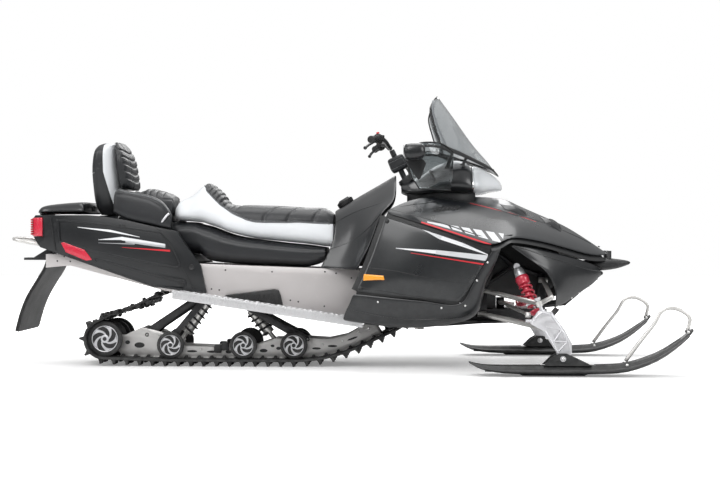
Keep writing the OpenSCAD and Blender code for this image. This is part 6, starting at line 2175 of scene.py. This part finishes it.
@dataclass
class Cockpit:
    """Windshield, headlamp, deflectors, mirrors, handlebar and dash."""

    column: tuple = (290.0, 0.0, 1000.0)
    column_axis: tuple = (-0.42, 0.0, 0.9075)
    grip_start: tuple = (198.0, -248.0, 1119.0)
    grip_end: tuple = (160.0, -362.0, 1106.0)
    cover_z: float = 1012.0
    shaft_z: float = 700.0
    trim_margin: float = 5.0

    def build(self) -> None:
        """Builds every piece."""
        self.screen()
        self.headlamp()
        self.pod()
        self.mirrors()
        self.steering()

    def screen(self) -> None:
        """Windshield with edge trim and screws, and the side deflectors."""
        copy_of("windshield", "windshield_screen", SMOKE, levels=1, angle=60)
        trims, strips = [], []
        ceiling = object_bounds()[1][2] / MM - self.trim_margin
        for v in (0.0, 1.0):
            path = [SHIELD_NET.lifted(k / 40, v, -2.0) for k in range(41)]
            path = [(q[0], q[1], min(q[2], ceiling)) for q in path]
            trims.append(tube("trim", path, 4.2, TRIM, 8))
            path = [SHIELD_NET.lifted(k / 40, abs(v - 0.045), 0.8) for k in range(1, 40)]
            normals = [SHIELD_NET.normal(k / 40, abs(v - 0.045)) for k in range(1, 40)]
            strips.append(tube("strip", path, 8.5, GREY, 8, 0.13, lambda i, n=normals: n[i]))
        path = [SHIELD_NET.lifted(0.0, k / 24, -2.0) for k in range(25)]
        path = [(q[0], q[1], min(q[2], ceiling)) for q in path]
        trims.append(tube("trim", path, 3.6, TRIM, 8))
        path = [SHIELD_NET.lifted(0.985, k / 40, 1.0) for k in range(41)]
        normals = [SHIELD_NET.normal(0.985, k / 40) for k in range(41)]
        trims.append(tube("trim", path, 13, TRIM, 8, 0.22, lambda i, n=normals: n[i]))
        ride([joined("windshield_trim", trims), joined("windshield_strip", strips)], "hood")
        spots = [surface_spot(SHIELD_NET, 0.965, v, 1.5, Side.RIGHT)
            for v in (0.08, 0.24, 0.4, 0.6, 0.76, 0.92)]
        repeat("windshield_screws", Template.dome(7, 4, 12), spots, TRIM, "hood")
        copy_of("wind_deflectors", "side_deflectors", SMOKE_DARK, levels=1, angle=60)
        edges = []
        for side in Side:
            for v in (0.0, 1.0):
                pts = [tuple(DEFLECTOR_NET.lifted(k / 20, v, -2.0)) for k in range(21)]
                edges.append(tube("edge", on_side(pts, side), 3.6, TRIM, 8))
            pts = [tuple(DEFLECTOR_NET.lifted(0.0, k / 20, -2.0)) for k in range(21)]
            edges.append(tube("edge", on_side(pts, side), 3.2, TRIM, 8))
            pts = [tuple(DEFLECTOR_NET.lifted(k / 20, 0.1, 0.8)) for k in range(1, 20)]
            edges.append(tube("edge", on_side(pts, side), 6, GREY, 8, 0.2,
                    lambda i, s=side: np.array([0.2, s.value * 1.0, 0.0])))
        ride(joined("deflector_trim", edges), "hood")

    def headlamp(self) -> None:
        """Clear lens over bright reflectors, with louvred strips."""
        lens = copy_of("headlight", "headlamp_lens", LENS, levels=1, angle=60)
        mod = lens.modifiers.new("thin_wall", "SOLIDIFY")
        mod.thickness = 0.0025
        mod.offset = -1.0
        bake_modifiers(lens)
        dress(lens, LENS)
        bowls, strips = [], []
        for s in (1, -1):
            for c, r, axis in (((668, s * 96, 912), 46, (0.85, s * 0.42, 0.05)),
                ((676, s * 36, 908), 30, (0.95, s * 0.2, 0.0))):
                profile = [(-14, 4), (-14, r * 0.3), (-8, r * 0.62), (2, r * 0.86), (16, r), (17, r * 0.96),
                    (4, r * 0.82), (-6, r * 0.58), (-11, r * 0.28), (-11, 5)]
                bowls.append(turned("bowl", profile, c, axis, CHROME, 36))
                bowls.append(turned("bulb", [(-11, 7), (6, 7), (12, 5), (14, 1)], c, axis, CHROME, 16))
            for k in range(5):
                z = 868 + 20 * k
                path = [(664, s * 150, z), (690, s * (132 - 8 * k), z + 3), (712, s * (96 - 10 * k), z + 5)]
                strips.append(tube("strip", smooth_path(path, 12), 7.5, TRIM if k % 2 else CHROME, 8, 0.22,
                        lambda i: np.array([0, 0, 1.0])))
        plate = [rounded_ring(x, lo, hi, a * 0.93, b * 0.93, 48, 3.2)
            for x, lo, hi, a, b in ((654, 853, 992, 222, 160), (660, 853, 990, 220, 156))]
        bowls.append(loft("plate", plate, CHROME))
        dark = [o for o in strips if o.data.materials[0].name == TRIM.name]
        shiny = [o for o in strips if o not in dark]
        ride([joined("headlamp_reflectors", bowls + shiny), joined("headlamp_louvres", dark)], "hood")

    def pod(self) -> None:
        """Headlamp pod with two dials and their hoods."""
        copy_of("headlight_pod", "pod_shell", BODY, levels=1, angle=50)
        rims, faces, ticks = [], [], []
        for s in (1, -1):
            c = np.array([330.0, s * 106.0, 932.0])
            axis = unit(np.array([-0.62, 0, 0.78]))
            rims.append(turned("rim", [(-24, 43), (4, 45), (9, 43), (9, 39), (3, 38), (2, 2)], c, axis,
                    TRIM, 40))
            faces.append(turned("glass", [(2.2, 37.5), (5.2, 37.5), (6.0, 30), (6.2, 1)], c, axis, GREY, 40))
            x = unit(np.cross((0, 1, 0), axis))
            for k in range(21):
                a = math.radians(-210 + 12 * k)
                out = math.cos(a) * np.array([0, 1.0, 0]) + math.sin(a) * x
                ticks.append((c + axis * 6.2 + out * 31, axis, out))
        ride([joined("dial_rims", rims), joined("dial_faces", faces)], "hood")
        repeat("dial_ticks", Template.prism([(-3.2, 0), (3.2, 0), (3.2, 0.6), (-3.2, 0.6)], -0.7, 0.7),
            ticks, BOARD, "hood")

    def mirrors(self) -> None:
        """Mirror housings, glasses and brackets."""
        copy_of("mirrors", "mirror_housings", BODY, levels=1, angle=50)
        glass, stays = [], []
        for s in (1, -1):
            rings = [rounded_ring(x, 1034 - h, 1056 + h + 4, w, w - 4, 40, 4)
                for x, h, w in ((316.5, 2, 36), (315.6, 12, 42), (317.5, 14, 44))]
            glass.append(loft("glass", [[(p[0], p[1] + s * 452, p[2]) for p in ring] for ring in rings],
                    CHROME))
            stays.append(slab("stay", [(322, 1006), (412, 1008), (424, 990), (396, 918), (386, 912),
                    (378, 922)], s * 386 - 4, s * 386 + 4, TRIM, 2.0))
            stays.append(tube("neck", smooth_path([(370, s * 380, 1020), (368, s * 400, 1026),
                    (366, s * 424, 1034)], 10), 13, TRIM, 12))
        ride([joined("mirror_glasses", glass), joined("mirror_stays", stays)], "hood")

    def steering(self) -> None:
        """Handlebar, grips, levers, switches and the padded post cover."""
        copy_of("handlebar", "handlebar_tube", STEEL)
        axis = unit(np.array(self.column_axis))
        lean = Matrix.Rotation(math.atan2(axis[0], axis[2]), 4, "Y")
        top = np.array(self.column)
        at = top + axis * (self.cover_z - top[2]) / axis[2]
        low = top + axis * (self.shaft_z - top[2]) / axis[2]
        shaft = turned("steering_shaft", [(0, 10), (2, 14), (400, 14), (416, 13)], low, axis, STEEL, 28)
        rings = []
        for z, k in ((-40, 0.72), (-38, 0.86), (-30, 0.97), (-14, 1.03), (6, 1.0), (24, 0.98), (33, 0.88),
            (36, 0.7)):
            rings.append([(math.copysign(abs(math.cos(a)) ** 0.55, math.cos(a)) * 44 * k,
                    math.copysign(abs(math.sin(a)) ** 0.55, math.sin(a)) * 42 * k, z)
                    for a in (2 * math.pi * (i + 0.5) / 48 for i in range(48))])
        rings = [list(r) for r in zip(*[smooth_path(list(col), 40) for col in zip(*rings)])]
        cover = loft("post_cover", rings, VINYL)
        cover.data.transform(Matrix.Translation(Vector(tuple(at * MM))) @ lean)
        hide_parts("steering_column")
        ride([shaft, cover], "steering")
        skin = Skin(cover)
        for k, z in enumerate((-20, 16)):
            local = [Vector((52 * math.cos(a), 50 * math.sin(a), z))
                for a in (2 * math.pi * i / 60 for i in range(61))]
            path = [skin.near(tuple((lean @ (v * MM)) / MM + Vector(tuple(at))))[0] for v in local]
            stitch_row(f"post_stitches_{k}", skin, path, THREAD, "steering", 7.0)
        self.controls()

    def controls(self) -> None:
        """Grips with ribs, lever blades, perches and buttons."""
        metal, black, red, ribs = [], [], [], []
        for side in Side:
            a, b = (np.array(p) for p in on_side([self.grip_start, self.grip_end], side))
            d = unit(b - a)
            length = float(np.linalg.norm(b - a))
            black.append(turned("grip", [(30, 15), (31, 19), (36, 19.5), (40, 16.4), (length - 8, 16.4),
                    (length - 6, 18.5), (length - 2, 18.5), (length, 14), (length, 2)], a, d, TYRE, 30))
            black.append(turned("perch", [(2, 12), (4, 22), (10, 24.5), (22, 24.5), (27, 22), (29, 13)], a,
                    d, TYRE, 26))
            for k in range(10):
                for j in range(12):
                    ang = 2 * math.pi * (j + 0.5 * (k % 2)) / 12
                    x = unit(np.cross(d, (0, 0, 1)))
                    y = np.cross(d, x)
                    out = math.cos(ang) * x + math.sin(ang) * y
                    ribs.append((a + d * (46 + 6.6 * k) + out * 16.2, out, np.cross(out, d)))
            base = a + d * 13 + np.array([-18, 0, -14])
            tip = np.array(on_side([(132, -340, 1068)], side)[0], float)
            mid = base * 0.55 + tip * 0.45 + np.array([-10, 0, -4])
            metal.append(tube("lever", smooth_path([base, mid, tip], 18), 7.0, STEEL, 10, 0.55,
                    lambda i: np.array([0.5, 0, 0.85])))
            metal.append(turned("lever_end", [(-8, 3), (-6, 7), (0, 9), (6, 7), (8, 3)], tip, (0, 1, 0.2),
                    STEEL, 18))
            c = a + d * 14 + np.array([14, 0, 8])
            black.append(slab("tank", [(c[0] - 16, c[2] - 10), (c[0] + 14, c[2] - 10),
                    (c[0] + 16, c[2] + 8), (c[0] - 12, c[2] + 10)], c[1] - 17, c[1] + 17, TRIM, 3.0))
            if side is Side.RIGHT:
                red.append(turned("button", [(0, 8), (6, 8), (8, 6), (8.4, 1)],
                        a + d * 8 + np.array([-4, 0, 24.0]), (-0.3, 0, 1), BUTTON, 20))
        grips = joined("grips_and_perches", black)
        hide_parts("hand_controls")
        ride([grips, joined("lever_blades", metal), joined("stop_button", red)], "steering")
        nub = Template.prism([(-2.4, -1), (2.4, -1), (1.4, 1.3), (-1.4, 1.3)], -2.2, 2.2, 0.6)
        repeat("grip_nubs", nub, ribs, TYRE, "steering")


def main() -> None:
    """Builds the stage and every sub-assembly."""
    logging.basicConfig(level=logging.INFO, format="%(name)s: %(message)s")
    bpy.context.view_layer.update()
    stage = Stage()
    stage.camera()
    stage.lamps()
    stage.surroundings()
    for part in PARTS:
        LOG.info("building %s", part.__name__)
        part().build()


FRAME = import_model()
PARTS = (Skid, Chassis, FrontSuspension, Bodywork, SeamShadeLiners, Seats, Cockpit)

if __name__ == "__main__":
    main()
